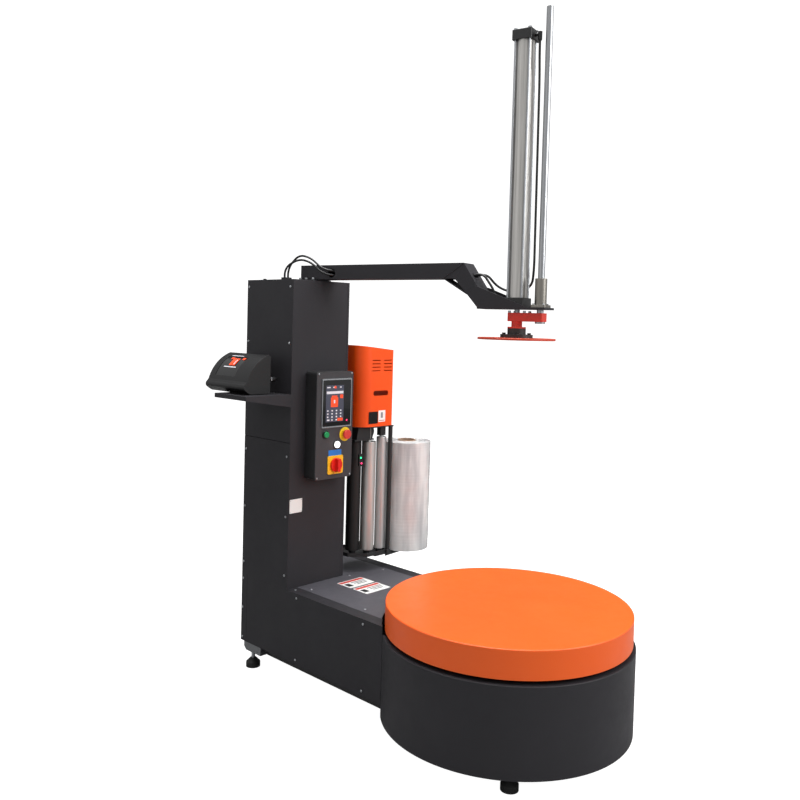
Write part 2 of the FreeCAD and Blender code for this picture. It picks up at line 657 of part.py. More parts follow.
def column_top_plate():
    """Top plate with the hangers of the upper lift pulley and a plug for a lifting eye."""
    z1 = COLUMN_TOP
    z0 = z1 - TOP_PLATE_T
    plate = box(BASE_LEFT, COLUMN_RIGHT, COLUMN_FRONT, BASE_REAR, z0, z1)
    hangers = []
    for y in (LIFT_PULLEY_Y - 13, LIFT_PULLEY_Y + LIFT_BELT_W + 7):
        hanger = box(LIFT_PULLEY_X - 22, LIFT_PULLEY_X + 22, y, y + 6, LIFT_Z1 - 20, z0)
        hangers.append(hanger.cut(rod_along((LIFT_PULLEY_X, y - 1, LIFT_Z1), (0, 1, 0), 8,
                                            SHAFT_R + FIT)))
    plug = hex_prism(BASE_LEFT + 40, COLUMN_MID[1] + 90, z1, PLUG_H, PLUG_R)
    gland_x, gland_y = gland_place()
    gland = ring(gland_x, gland_y, z1, z1 + 12, 22, 17)
    hole = rod(gland_x, gland_y, z0 - 1, z1 + 1, 17)
    return fuse([plate] + hangers + [plug, gland]).cut(hole)


def gland_place():
    """Where the hoses leave the column, beside the rear end of the arm."""
    return BASE_LEFT + 70, COLUMN_MID[1] - 22


def mast_rails():
    """Two U-channels that face each other and guide the carriage trolley."""
    rails = []
    for y0, opens in ((MAST_FRONT_Y, 1), (MAST_REAR_Y, -1)):
        y1 = y0 + MAST_D
        outer = box(MAST_X0, MAST_X0 + MAST_W, y0, y1, RAIL_TOP, COLUMN_TOP - TOP_PLATE_T)
        a, b = (y0 + MAST_T, y1 + 1) if opens > 0 else (y0 - 1, y1 - MAST_T)
        inner = box(MAST_X0 + MAST_T, MAST_X0 + MAST_W - MAST_T, a, b, RAIL_TOP - 1, COLUMN_TOP)
        rails.append(outer.cut(inner))
    return rails


def lift_drive():
    """Gearmotor, two pulleys and the toothed belt that lifts the carriage."""
    x, y0, y1 = LIFT_PULLEY_X, LIFT_PULLEY_Y, LIFT_PULLEY_Y + LIFT_BELT_W
    pulleys = []
    for z in (LIFT_Z0, LIFT_Z1):
        wheel = fuse([rod_along((x, y0 - 4, z), (0, 1, 0), 3, LIFT_PULLEY_R + 6),
                      rod_along((x, y0 - 1, z), (0, 1, 0), LIFT_BELT_W + 2, LIFT_PULLEY_R),
                      rod_along((x, y1 + 1, z), (0, 1, 0), 3, LIFT_PULLEY_R + 6)])
        start, length = (y0 - 14, LIFT_BELT_W + 30) if z == LIFT_Z1 else (y0 - 14, LIFT_BELT_W + 26)
        pulleys.append(fuse([wheel, rod_along((x, start, z), (0, 1, 0), length, SHAFT_R)]))
    loop = belt_loop((x, -LIFT_Z0), LIFT_PULLEY_R + BELT_GAP, (x, -LIFT_Z1), LIFT_PULLEY_R + BELT_GAP,
                     BELT_T)
    belt = loop.extrude(V(0, 0, LIFT_BELT_W))
    belt.rotate(V(0, 0, 0), V(1, 0, 0), -90)
    belt.translate(V(0, y0, 0))
    gear_y = y1 + 13
    gearbox = rounded(box(x - 42, x + 42, gear_y, gear_y + 46, LIFT_Z0 - 40, LIFT_Z0 + 40), 8, (0, 1, 0))
    motor = rod_along((x - 42, gear_y + 23, LIFT_Z0), (-1, 0, 0), 120, 22)
    base = box(x - 30, x + 30, gear_y + 4, gear_y + 42, RAIL_TOP, LIFT_Z0 - 40)
    return pulleys, belt, fuse([gearbox, motor, base])


def control_gear():
    """Mounting plate with drive, controller, supply, terminals and the air valve."""
    x0 = BASE_LEFT + 14
    y0, y1 = COLUMN_FRONT + 24, BASE_REAR - 24
    plate = box(x0, x0 + 3, y0, y1, SIDE_SPLIT_Z + 50, SIDE_SPLIT_Z + 560)
    z = SIDE_SPLIT_Z + 70
    sizes = ((90, 70, 150), (95, 60, 100), (60, 55, 120))
    blocks = []
    y = y0 + 12
    for width, depth, height in sizes:
        blocks.append(rounded(box(x0 + 3, x0 + 3 + depth, y, y + width - 14, z, z + height), 3,
                              (1, 0, 0)))
        y += width
    strip = box(x0 + 3, x0 + 33, y0 + 12, y1 - 12, z + 190, z + 240)
    valve = box(x0 + 3, x0 + 48, y0 + 30, y0 + 150, z + 300, z + 350)
    coils = [box(x0 + 3, x0 + 33, y0 + 40 + 55 * k, y0 + 70 + 55 * k, z + 350, z + 400) for k in range(2)]
    feet = [box(BASE_LEFT + SHEET, x0, y, y + 12, SIDE_SPLIT_Z + h, SIDE_SPLIT_Z + h + 12)
            for y in (y0 + 4, y1 - 16) for h in (60, 530)]
    return [fuse([plate] + feet)] + blocks + [strip, fuse([valve] + coils)]


# ---------------------------------------------------------------- operator controls
def panel_box():
    """Deep enclosure open to the front."""
    y0, y1 = PANEL_Y0 + DOOR_T, COLUMN_FRONT
    z0, z1 = PANEL_Z0, PANEL_Z0 + PANEL_H
    outer = rounded(box(PANEL_X0, PANEL_X0 + PANEL_W, y0, y1, z0, z1), PANEL_R, (0, 1, 0))
    inner = box(PANEL_X0 + 3, PANEL_X0 + PANEL_W - 3, y0 - 1, y1 - 3, z0 + 3, z1 - 3)
    inner = rounded(inner, PANEL_R - 3, (0, 1, 0))
    middle_z = PANEL_Z0 + PANEL_H / 2
    wiring = box(PANEL_X0 + 60, PANEL_X0 + 140, y1 - 5, y1 + 1, middle_z - 60, middle_z + 60)
    return cut(outer, [inner, wiring])


def panel_door():
    """Front plate with holes for the screen and the four controls."""
    y0, y1 = PANEL_Y0, PANEL_Y0 + DOOR_T
    plate = rounded(box(PANEL_X0, PANEL_X0 + PANEL_W, y0, y1, PANEL_Z0, PANEL_Z0 + PANEL_H), PANEL_R,
                    (0, 1, 0))
    places = CONTROLS
    sx, sz = (PANEL_X0 + places["screen"][0], PANEL_Z0 + places["screen"][1])
    holes = [box(sx - SCREEN_W / 2 + 10, sx + SCREEN_W / 2 - 10, y0 - 1, y1 + 1,
                 sz - SCREEN_H / 2 + 10, sz + SCREEN_H / 2 - 10)]
    for name in ("estop", "start", "lamp", "knob"):
        x, z = places[name]
        holes.append(rod_along((PANEL_X0 + x, y0 - 1, PANEL_Z0 + z), (0, 1, 0), DOOR_T + 2, STEM_R + FIT))
    return cut(plate, holes)


def touch_screen():
    """Operator screen: a thin frame on the door and its body behind it."""
    y0 = PANEL_Y0
    x, z = CONTROLS["screen"]
    x, z = PANEL_X0 + x, PANEL_Z0 + z
    frame = rounded(box(x - SCREEN_W / 2, x + SCREEN_W / 2, y0 - 4, y0, z - SCREEN_H / 2,
                        z + SCREEN_H / 2), 4, (0, 1, 0))
    body = box(x - SCREEN_W / 2 + 11, x + SCREEN_W / 2 - 11, y0, y0 + 40, z - SCREEN_H / 2 + 11,
               z + SCREEN_H / 2 - 11)
    face = box(x - SCREEN_W / 2 + 6, x + SCREEN_W / 2 - 6, y0 - 5, y0 - 3, z - SCREEN_H / 2 + 6,
               z + SCREEN_H / 2 - 6)
    return fuse([frame, body]).cut(face)


def push_button(place, head_r, head_t, rise):
    """Button head on a stem that slides in the door."""
    x, z = PANEL_X0 + place[0], PANEL_Z0 + place[1]
    y0 = PANEL_Y0
    head = rod_along((x, y0 - rise - head_t, z), (0, 1, 0), head_t, head_r)
    outer = [e for e in head.Edges if abs(e.BoundBox.YMax - (y0 - rise - head_t)) < 0.01]
    head = head.makeFillet(min(head_t * 0.4, 3), outer)
    stem = rod_along((x, y0 - rise, z), (0, 1, 0), rise + DOOR_T + 22, STEM_R)
    return fuse([head, stem])


def switch_plates():
    """Yellow ring of the emergency stop and yellow plate of the main switch."""
    y0 = PANEL_Y0
    ex, ez = CONTROLS["estop"]
    kx, kz = CONTROLS["knob"]
    hole = STEM_R + 0.4
    disc = rod_along((PANEL_X0 + ex, y0 - 2, PANEL_Z0 + ez), (0, 1, 0), 2, 30)
    disc = disc.cut(rod_along((PANEL_X0 + ex, y0 - 5, PANEL_Z0 + ez), (0, 1, 0), 8, hole))
    half_w, half_h = SWITCH_W / 2, SWITCH_H / 2
    plate = box(PANEL_X0 + kx - half_w, PANEL_X0 + kx + half_w, y0 - 3, y0,
                PANEL_Z0 + kz - half_h, PANEL_Z0 + kz + half_h)
    plate = rounded(plate, 8, (0, 1, 0))
    plate = plate.cut(rod_along((PANEL_X0 + kx, y0 - 5, PANEL_Z0 + kz), (0, 1, 0), 8, hole))
    return disc, plate


def main_switch():
    """Red rotary knob with a grip bar."""
    x, z = CONTROLS["knob"]
    x, z = PANEL_X0 + x, PANEL_Z0 + z
    y0 = PANEL_Y0 - 3 - GAP
    disc = rod_along((x, y0 - 10, z), (0, 1, 0), 10, KNOB_R)
    grip = rounded(box(x - 8, x + 8, y0 - 26, y0 - 9, z - KNOB_R + 2, z + KNOB_R - 2), 4, (0, 1, 0))
    stem = rod_along((x, y0, z), (0, 1, 0), DOOR_T + 26, STEM_R)
    return fuse([disc, grip, stem])


def terminal_shelf():
    """Bent shelf on the column side that carries the display terminal."""
    x1 = BASE_LEFT
    x0 = x1 - SHELF_OUT
    y0, y1 = COLUMN_FRONT, COLUMN_FRONT + SHELF_L
    top = box(x0, x1, y0, y1, SHELF_Z - SHELF_T, SHELF_Z)
    lip = box(x0, x0 + SHELF_T, y0, y1, SHELF_Z - SHELF_LIP, SHELF_Z)
    web = box(x1 - SHELF_T, x1, y0, y1, SHELF_Z - SHELF_WEB, SHELF_Z)
    gusset = prism([(x1, y0, SHELF_Z), (x1, y0, SHELF_Z - SHELF_WEB), (x0, y0, SHELF_Z - SHELF_LIP),
                    (x0, y0, SHELF_Z)],
                   (0, SHELF_T, 0))
    return fuse([top, lip, web, gusset])


def terminal_profile(inset):
    """Side outline of the terminal as edges: flat foot, round nose, bowed face, flat back."""
    back = BASE_LEFT - TERMINAL_BACK - inset
    nose = BASE_LEFT - TERMINAL_BACK - TERMINAL_D
    low, high = SHELF_Z + 3, SHELF_Z + 3 + TERMINAL_H
    p = [V(back, 0, low), V(nose + 32, 0, low), V(nose + 16, 0, low + 9), V(nose + 2, 0, low + 20),
         V(nose + 0, 0, low + 29), V(nose + 7, 0, low + 41), V(nose + 14, 0, low + 50),
         V(nose + 48, 0, low + 110), V(back - 10, 0, high), V(back, 0, high - 6)]
    edges = [Part.makeLine(p[0], p[1]), Part.Arc(p[1], p[2], p[3]).toShape(),
             Part.Arc(p[3], p[4], p[5]).toShape(),
             Part.makeLine(p[5], p[6]), Part.Arc(p[6], p[7], p[8]).toShape(), Part.makeLine(p[8], p[9]),
             Part.makeLine(p[9], p[0])]
    return Part.Face(Part.Wire(edges))


def terminal():
    """Weighing display: bowed housing with rear sockets, its foot and the screen pane."""
    face = terminal_profile(0)
    body = face.extrude(V(0, TERMINAL_L, 0))
    body.translate(V(0, TERMINAL_Y0, 0))
    back = BASE_LEFT - TERMINAL_BACK
    foot = box(back - TERMINAL_D + 44, back - 12, COLUMN_FRONT + 70, COLUMN_FRONT + SHELF_L - 10, SHELF_Z,
               SHELF_Z + 3)
    sockets = [rod_along((back, TERMINAL_Y0 + y, SHELF_Z + z), (1, 0, 0), 14, r)
               for y, z, r in ((24, 60, 9), (60, 60, 9), (96, 60, 7), (30, 105, 6))]
    nose = back - TERMINAL_D
    low = SHELF_Z + 3
    # the pane lies on the chord of the bowed face
    a, b = V(nose + 22, 0, low + 66), V(back - 34, 0, low + TERMINAL_H - 26)
    along = (b - a).normalize()
    normal = V(-along.z, 0, along.x)
    pane = [a - normal * 12, b - normal * 12, b + normal * 30, a + normal * 30]
    y0, y1 = TERMINAL_Y0 + 95, TERMINAL_Y0 + 235
    window = prism([(q.x, y0, q.z) for q in pane], (0, y1 - y0, 0))
    screen = body.common(window)
    skin = body.copy()
    skin.translate(-normal * 1.5)
    screen = screen.common(skin)
    housing = fuse([body, foot] + sockets).cut(window)
    return housing, screen


# ---------------------------------------------------------------- arm and press support
def knee_points():
    """Corners of the bent arm in the upright plane (distance, height)."""
    return {"top": (ARM_KNEE_S, ARM_TOP), "under": (ARM_KNEE_S + 38, ARM_Z0),
            "leg_top": (MOUNT_ROOT_S + 4, LEG_END_Z + 76), "leg_low": (MOUNT_ROOT_S + 6, LEG_END_Z),
            "leg_back": (MOUNT_ROOT_S + 48, LEG_END_Z + 46), "leg_in": (MOUNT_ROOT_S - 34, LEG_END_Z)}


def arm_beam():
    """Long rectangular tube on a foot plate, cut on the slant where the leg meets it."""
    k = knee_points()
    foot_s = COLUMN_FRONT / math.cos(math.radians(ARM_ANGLE)) + 30
    foot = box(-ARM_W / 2 - 22, ARM_W / 2 + 22, foot_s, ARM_REAR_S + 12, COLUMN_TOP,
               COLUMN_TOP + ARM_FOOT_T)
    foot = rounded(foot, 6, (0, 0, 1))
    outer = box(-ARM_W / 2, ARM_W / 2, ARM_KNEE_S - 40, ARM_REAR_S, ARM_Z0, ARM_TOP)
    inner = box(-ARM_W / 2 + ARM_WALL, ARM_W / 2 - ARM_WALL, ARM_KNEE_S - 60, ARM_REAR_S - ARM_WALL,
                ARM_Z0 + ARM_WALL, ARM_TOP - ARM_WALL)
    (ts, tz), (us, uz) = k["top"], k["under"]
    slope = (us - ts) / (uz - tz)
    low, high = ARM_Z0 - 5, ARM_TOP + 5
    wedge = prism([(-ARM_W, ARM_KNEE_S - 90, low), (-ARM_W, ts + slope * (low - tz), low),
                   (-ARM_W, ts + slope * (high - tz), high), (-ARM_W, ARM_KNEE_S - 90, high)], (2 * ARM_W,
                                                                                                0, 0))
    hole = rod_along((-ARM_W, ARM_REAR_S - HOSE_ENTRY, ARM_Z0 + 26), (1, 0, 0), ARM_W, 19)
    return on_arm(fuse([cut(outer, [inner, wedge, hole]), foot]))


def leg_exit():
    """Where the hoses come out of the slanted face, and the way they point (distance, height)."""
    k = knee_points()
    share = 0.47
    spot = [k["leg_top"][i] + share * (k["top"][i] - k["leg_top"][i]) for i in (0, 1)]
    return spot, (-0.968, 0.251)


def arm_leg():
    """Slanted leg, gusset strip, two cheeks and the mount plate, welded together."""
    k = knee_points()
    half = ARM_W / 2
    wall = ARM_WALL
    names = ("top", "under", "leg_back", "leg_low", "leg_in", "leg_top")
    inward = {"top": (6, -4), "under": (-4, 4), "leg_back": (-6, 4), "leg_low": (-8, 8),
              "leg_in": (14, 8),
              "leg_top": (6, -6)}
    leg = prism([(-half, *k[n]) for n in names], (ARM_W, 0, 0))
    hollow = prism([(-half + wall, k[n][0] + inward[n][0], k[n][1] + inward[n][1]) for n in names],
                   (ARM_W - 2 * wall, 0, 0))
    (es, ez), (ds, dz) = leg_exit()
    slot = fuse([rod_along((x, es - 30 * ds, ez - 30 * dz), (0, ds, dz), 60, 8) for x in (-HOSE_X,
                                                                                          HOSE_X)]
                + [prism([(-HOSE_X, es + a * ds - b * dz, ez + a * dz + b * ds)
                          for a, b in ((-30, -8), (30, -8), (30, 8), (-30, 8))], (2 * HOSE_X, 0, 0))])
    foot, heel = k["under"][0] + 56, k["leg_back"]
    strip = prism([(-30, foot - 10, ARM_Z0), (-30, foot, ARM_Z0), (-30, heel[0] + 7, heel[1]),
                   (-30, heel[0] - 1, heel[1] + 2)], (60, 0, 0))
    cheeks = []
    for x in (-half - CHEEK_T, half):
        cheeks.append(prism([(x, MOUNT_ROOT_S + 46, LEG_END_Z + 50),
                             (x, MOUNT_ROOT_S + 14, LEG_END_Z + 77),
                             (x, MOUNT_ROOT_S, LEG_END_Z + 75), (x, 53, LEG_END_Z + 41), (x, -50,
                                                                                          LEG_END_Z + 3),
                             (x, -50, LEG_END_Z), (x, MOUNT_ROOT_S + 4, LEG_END_Z)], (CHEEK_T, 0, 0)))
    plate = box(-half - CHEEK_T, half + CHEEK_T, MOUNT_TIP_S, MOUNT_ROOT_S + 6, LEG_END_Z - MOUNT_T,
                LEG_END_Z)
    plate = cut(rounded(plate, 10, (0, 0, 1)), [rod(0, 0, LEG_END_Z - MOUNT_T - 1, LEG_END_Z + 1,
                                                    ROD_R + 4),
                                                rod(0, GUIDE_S, LEG_END_Z - MOUNT_T - 1, LEG_END_Z + 1,
                                                    BUSH_R - 6)])
    return on_arm(fuse([cut(leg, [hollow, slot]), strip, plate] + cheeks))


def cylinder():
    """Air cylinder: barrel, two end caps and four tie rods with nuts."""
    z0, z1 = BARREL_Z0, BARREL_Z1
    barrel = ring(0, 0, z0, z1, BARREL_R, BARREL_BORE)
    half = CAP_S / 2
    low = rounded(box(-half, half, -half, half, CAP_Z0, z0), 5, (0, 0, 1))
    low = cut(low, [rod(0, 0, CAP_Z0 - 1, z0 + 1, ROD_R + FIT),
                    rod(0, 0, CAP_Z0 - 1, CAP_Z0 + 4, ROD_R + 4)])
    high = rounded(box(-half, half, -half, half, z1, z1 + CAP_H), 5, (0, 0, 1))
    low = low.cut(rod_along((-HOSE_X, half + 1, CAP_Z0 + CAP_H / 2), (0, -1, 0), PORT_DEPTH + 1, PORT_R))
    top_port = z1 + CAP_H / 2
    stub = rod_along((0, 4 - half, top_port), (0, -1, 0), ELBOW_OUT + 4, ELBOW_R - 1.5)
    elbow = fuse([high, stub, rod(0, -half - ELBOW_OUT, z1 - ELBOW_DROP, top_port + ELBOW_R + 1, ELBOW_R)])
    high = elbow.cut(rod(0, -half - ELBOW_OUT, z1 - ELBOW_DROP - 1, z1 + PORT_DEPTH - ELBOW_DROP, PORT_R))
    ties, pitch = [], TIE_PITCH / 2
    tools = []
    for sx in (-1, 1):
        for sy in (-1, 1):
            x, y = sx * pitch, sy * pitch
            tools.append(rod(x, y, CAP_Z0 + 12, z1 + CAP_H + 1, TIE_R))
            ties.append(fuse([rod(x, y, CAP_Z0 + 12, z1 + CAP_H, TIE_R),
                              hex_prism(x, y, z1 + CAP_H, 7, 7.5)]))
    caps = [on_arm(cut(cap, tools)) for cap in (low, high)]
    return on_arm(barrel), caps, [on_arm(t) for t in ties]


def guide_bushing():
    """Flanged bush that keeps the press plate from turning."""
    z0 = LEG_END_Z
    bush = fuse([rod(0, GUIDE_S, z0, BUSH_TOP, BUSH_R),
                 rounded(box(-30, 30, GUIDE_S - 30, GUIDE_S + 30, z0, z0 + 10), 8, (0, 0, 1))])
    return on_arm(bush.cut(rod(0, GUIDE_S, z0 - 1, BUSH_TOP + 1, GUIDE_R + FIT)))


def press_ram():
    """Piston with its rod, the guide rod and the coupling bar that joins them."""
    piston_z1 = BARREL_Z1 - 4
    bar_z0 = BAR_Z0
    piston = fuse([rod(0, 0, piston_z1 - PISTON_T, piston_z1, BARREL_BORE - FIT),
                   rod(0, 0, bar_z0, piston_z1 - PISTON_T, ROD_R)])
    guide = fuse([rod(0, GUIDE_S, bar_z0, GUIDE_TOP, GUIDE_R),
                  rod(0, GUIDE_S, bar_z0 - 7, bar_z0, GUIDE_R + 6)])
    bar = rounded(box(-BAR_W / 2, BAR_W / 2, GUIDE_S - 19, BAR_BACK, bar_z0, BAR_TOP), 8, (0, 0, 1))
    neck = rod(0, 0, bar_z0 - NECK_H, bar_z0, NECK_R)
    hub = rod(0, 0, PRESS_Z + PRESS_T + FLANGE_T + GAP, bar_z0 - NECK_H, HUB_R)
    post = rod(0, 0, PRESS_Z + PRESS_T + 2, bar_z0 - NECK_H, POST_R)
    bar = fuse([bar, neck, hub, post])
    bar = cut(bar, [rod(0, 0, bar_z0, BAR_TOP + 1, ROD_R),
                    rod(0, GUIDE_S, bar_z0 - 1, BAR_TOP + 1, GUIDE_R)])
    return on_arm(piston), on_arm(guide), on_arm(bar)


def press_plate():
    """Round plate with its bolted flange; it turns with the load."""
    z0, z1 = PRESS_Z, PRESS_Z + PRESS_T
    plate = rod(0, 0, z0, z1, PRESS_R)
    edges = [e for e in plate.Edges if e.Curve.TypeId == "Part::GeomCircle"]
    plate = plate.makeFillet(1.5, edges)
    flange = ring(0, 0, z1, z1 + FLANGE_T, FLANGE_R, POST_R + FIT)
    bolts = []
    for k in range(4):
        t = math.radians(45 + 90 * k)
        bolts.append(hex_prism((FLANGE_R - 13) * math.cos(t), (FLANGE_R - 13) * math.sin(t),
                               z1 + FLANGE_T, 6, 7))
    return fuse([plate, flange] + bolts)


def air_hoses():
    """Two hoses from the column into the arm and two from the leg to the cylinder."""
    gx, gy = gland_place()
    turn = math.radians(ARM_ANGLE)

    def placed(x, s, z):
        """Arm axes to model axes."""
        return (x * math.cos(turn) - s * math.sin(turn), x * math.sin(turn) + s * math.cos(turn), z)
    hoses = []
    side = -ARM_W / 2
    entry = ARM_REAR_S - HOSE_ENTRY
    for off in (-9.0, 9.0):
        z = ARM_Z0 + 26 + off
        route = [(gx + off, gy, COLUMN_TOP - 60), (gx + off, gy + 2, ARM_TOP - 10),
                 placed(side - 36, ARM_REAR_S - 18, ARM_TOP + 34 + off),
                 placed(side - 34, ARM_REAR_S - 80, ARM_TOP + 20 + off),
                 placed(side - 26, entry + 24, z + 4), placed(side + 24, entry - 20, z)]
        hoses.append(hose(route, HOSE_R))
    (es, ez), (ds, dz) = leg_exit()
    low_port = CAP_Z0 + CAP_H / 2
    half = CAP_S / 2
    inside, outside = (es - 18 * ds, ez - 18 * dz), (es + 38 * ds, ez + 38 * dz)
    hoses.append(hose([placed(-HOSE_X, *inside), placed(-HOSE_X, *outside),
                       placed(-HOSE_X, half + 53, low_port + 46),
                       placed(-HOSE_X, half + 41, low_port), placed(-HOSE_X, half - 10,
                                                                    low_port)], HOSE_R))
    rise = -half - ELBOW_OUT
    beside = half + 3.5 * HOSE_R
    hoses.append(hose([placed(HOSE_X, *inside), placed(HOSE_X, *outside),
                       placed(0.55 * beside, half + 56, BARREL_Z0 + 38),
                       placed(beside, half - 6, BARREL_Z0 + 20), placed(beside - 3, 6 - half,
                                                                        BARREL_Z0 + 44),
                       placed(14, rise, BARREL_Z0 + 110), placed(9, rise - 1,
                                                                 (BARREL_Z0 + BARREL_Z1) / 2),
                       placed(7, rise, BARREL_Z1 - 140), placed(0, rise, BARREL_Z1 - 50),
                       placed(0, rise, BARREL_Z1 - ELBOW_DROP + 9)], HOSE_R))
    return hoses


# ---------------------------------------------------------------- carriage
def trolley():
    """Plate between the mast rails, belt clamp and the bracket through the slot."""
    y0, y1 = MAST_FRONT_Y + MAST_D + 6, MAST_REAR_Y - 6
    x0, x1 = MAST_X0 + 14, MAST_X0 + 34
    z0, z1 = TROLLEY_Z0, TROLLEY_Z1
    plate = box(x0, x1, y0, y1, z0, z1)
    ears = [box(x0, x1, a, b, z, z + 50) for a, b in ((MAST_FRONT_Y + MAST_T + 12, y0),
                                                      (y1, MAST_REAR_Y + MAST_D - MAST_T - 12))
            for z in (z0, z1 - 50)]
    strand = LIFT_PULLEY_X + LIFT_PULLEY_R + BELT_GAP
    clamp = box(strand - 8, x0, LIFT_PULLEY_Y - 6, LIFT_PULLEY_Y + LIFT_BELT_W + 6, z0 + 180, z0 + 240)
    way = box(strand - 0.4, strand + BELT_T + 0.4, LIFT_PULLEY_Y - 0.4, LIFT_PULLEY_Y + LIFT_BELT_W + 0.4,
              z0 + 170, z0 + 250)
    fin = box(x1, CAR_X0 - BACK_T, SLOT_Y0 + 10, SLOT_Y0 + SLOT_W - 10, z0 + 10, z1 - 10)
    return fuse([plate, fin] + ears + [clamp.cut(way)])


def slide_shoes():
    """Plastic shoes that run in the mast channels."""
    shoes = []
    x0, x1 = MAST_X0 + MAST_T + GAP, MAST_X0 + MAST_W - MAST_T - GAP
    ex0, ex1 = MAST_X0 + 14, MAST_X0 + 34
    z0, z1 = TROLLEY_Z0, TROLLEY_Z1
    for y0, y1, ear in ((MAST_FRONT_Y + MAST_T + GAP, MAST_FRONT_Y + MAST_D - 1, 1),
                        (MAST_REAR_Y + 1, MAST_REAR_Y + MAST_D - MAST_T - GAP, -1)):
        for z in (z0, z1 - 50):
            block = box(x0, x1, y0, y1, z - 8, z + 58)
            mouth = (box(ex0, ex1, MAST_FRONT_Y + MAST_T + 12, y1 + 1, z, z + 50) if ear > 0
                     else box(ex0, ex1, y0 - 1, MAST_REAR_Y + MAST_D - MAST_T - 12, z, z + 50))
            shoes.append(block.cut(mouth))
    return shoes


def carriage_frame():
    """Back plate, bottom tray, roller head, upper deck and guard post, welded together."""
    x0, x1, y0, y1 = CAR_X0, CAR_X1 - 4, CAR_Y0 + 4, CAR_Y1 - 1
    lean = COVER_R

    def deck(inset, z0, z1, left):
        """Plan with a bevelled front left corner."""
        corners = [(left + inset, y0 + lean), (left + inset, y1 - inset), (x1 - inset, y1 - inset),
                   (x1 - inset, y0 + inset), (x0 + lean, y0 + inset)]
        return prism([(x, y, z0) for x, y in corners], (0, 0, z1 - z0))
    tray_top = CAR_Z0 + TRAY_H
    tray = deck(0, CAR_Z0, tray_top, x0).cut(deck(3, CAR_Z0 + 3, tray_top + 1, x0))
    seats = [rod(*place, CAR_Z0 + 3, tray_top + ROLLER_GAP - 1, SHAFT_R + 5)
             for place in (STEEL_ROLLER, RUBBER_ROLLER, IDLER)]
    back = box(x0 - BACK_T, x0, CAR_Y1 - 40, MAST_MID_Y + 18, CAR_Z0, COVER_TOP - 12)
    upper = deck(GAP, DECK_Z0, COVER_Z0, x0)
    head = box(x0, STEEL_ROLLER[0] + 18, STEEL_ROLLER[1] - 14, y1, HEAD_Z0, HEAD_Z0 + HEAD_T)
    hood = prism([(x0 + 14, STEEL_ROLLER[1] - 10, HEAD_Z0 + HEAD_T),
                  (STEEL_ROLLER[0] + 10, STEEL_ROLLER[1] - 10, HEAD_Z0 + HEAD_T),
                  (STEEL_ROLLER[0] + 22, STEEL_ROLLER[1] - 10, DECK_Z0 - 22), (STEEL_ROLLER[0] + 16,
                                                                               STEEL_ROLLER[1] - 10, DECK_Z0),
                  (x0 + 24, STEEL_ROLLER[1] - 10, DECK_Z0)], (0, 70, 0))
    hanger = box(IDLER[0] - 18, IDLER[0] + 14, IDLER[1] - 12, IDLER[1] + 12, DECK_Z0 - 40, DECK_Z0)
    post = rod(*GUARD, tray_top - 1, DECK_Z0 + 1, GUARD_R)
    ends = [box(x1 - 10, GUARD[0] + GUARD_R, GUARD[1] - GUARD_R, GUARD[1] + GUARD_R, z, z + t)
            for z, t in ((CAR_Z0, TRAY_H), (DECK_Z0, HEAD_T))]
    frame = fuse([tray, back, upper, head, hood, hanger, post] + ends + seats)
    journals = [rod(*place, ROLLER_Z0 - 16, DECK_Z0 + HEAD_T + 1, SHAFT_R + FIT)
                for place in (STEEL_ROLLER, RUBBER_ROLLER, IDLER)]
    return cut(frame, journals)


def rollers():
    """Rubber pre-stretch roller, steel pre-stretch roller and idler, with journals."""
    out = []
    for place, radius, top in ((RUBBER_ROLLER, ROLLER_R, HEAD_Z0), (STEEL_ROLLER, ROLLER_R, HEAD_Z0),
                               (IDLER, IDLER_R, DECK_Z0 - 40)):
        body = rod(*place, ROLLER_Z0, top - ROLLER_GAP, radius)
        rims = [e for e in body.Edges if e.Curve.TypeId == "Part::GeomCircle"]
        body = body.makeFillet(1.5, rims)
        end = DECK_Z0 + HEAD_T - 1 if place != IDLER else DECK_Z0 - 6
        low = rod(*place, ROLLER_Z0 - 14, ROLLER_Z0 + 1, SHAFT_R)
        out.append(fuse([body, low, rod(*place, top - ROLLER_GAP - 1, end, SHAFT_R)]))
    return out


def roller_drive():
    """Gearmotor of the pre-stretch rollers, on the deck under the cover."""
    z0 = DECK_Z0 + HEAD_T
    x, y = CAR_X0 + 100, CAR_Y1 - 60
    return fuse([rounded(box(x - 36, x + 36, y - 34, y + 34, z0, z0 + 80), 6, (0, 0, 1)),
                 rod(x, y, z0 + 80, z0 + 220, 30), rod(x, y, z0 + 220, z0 + 260, 26)])


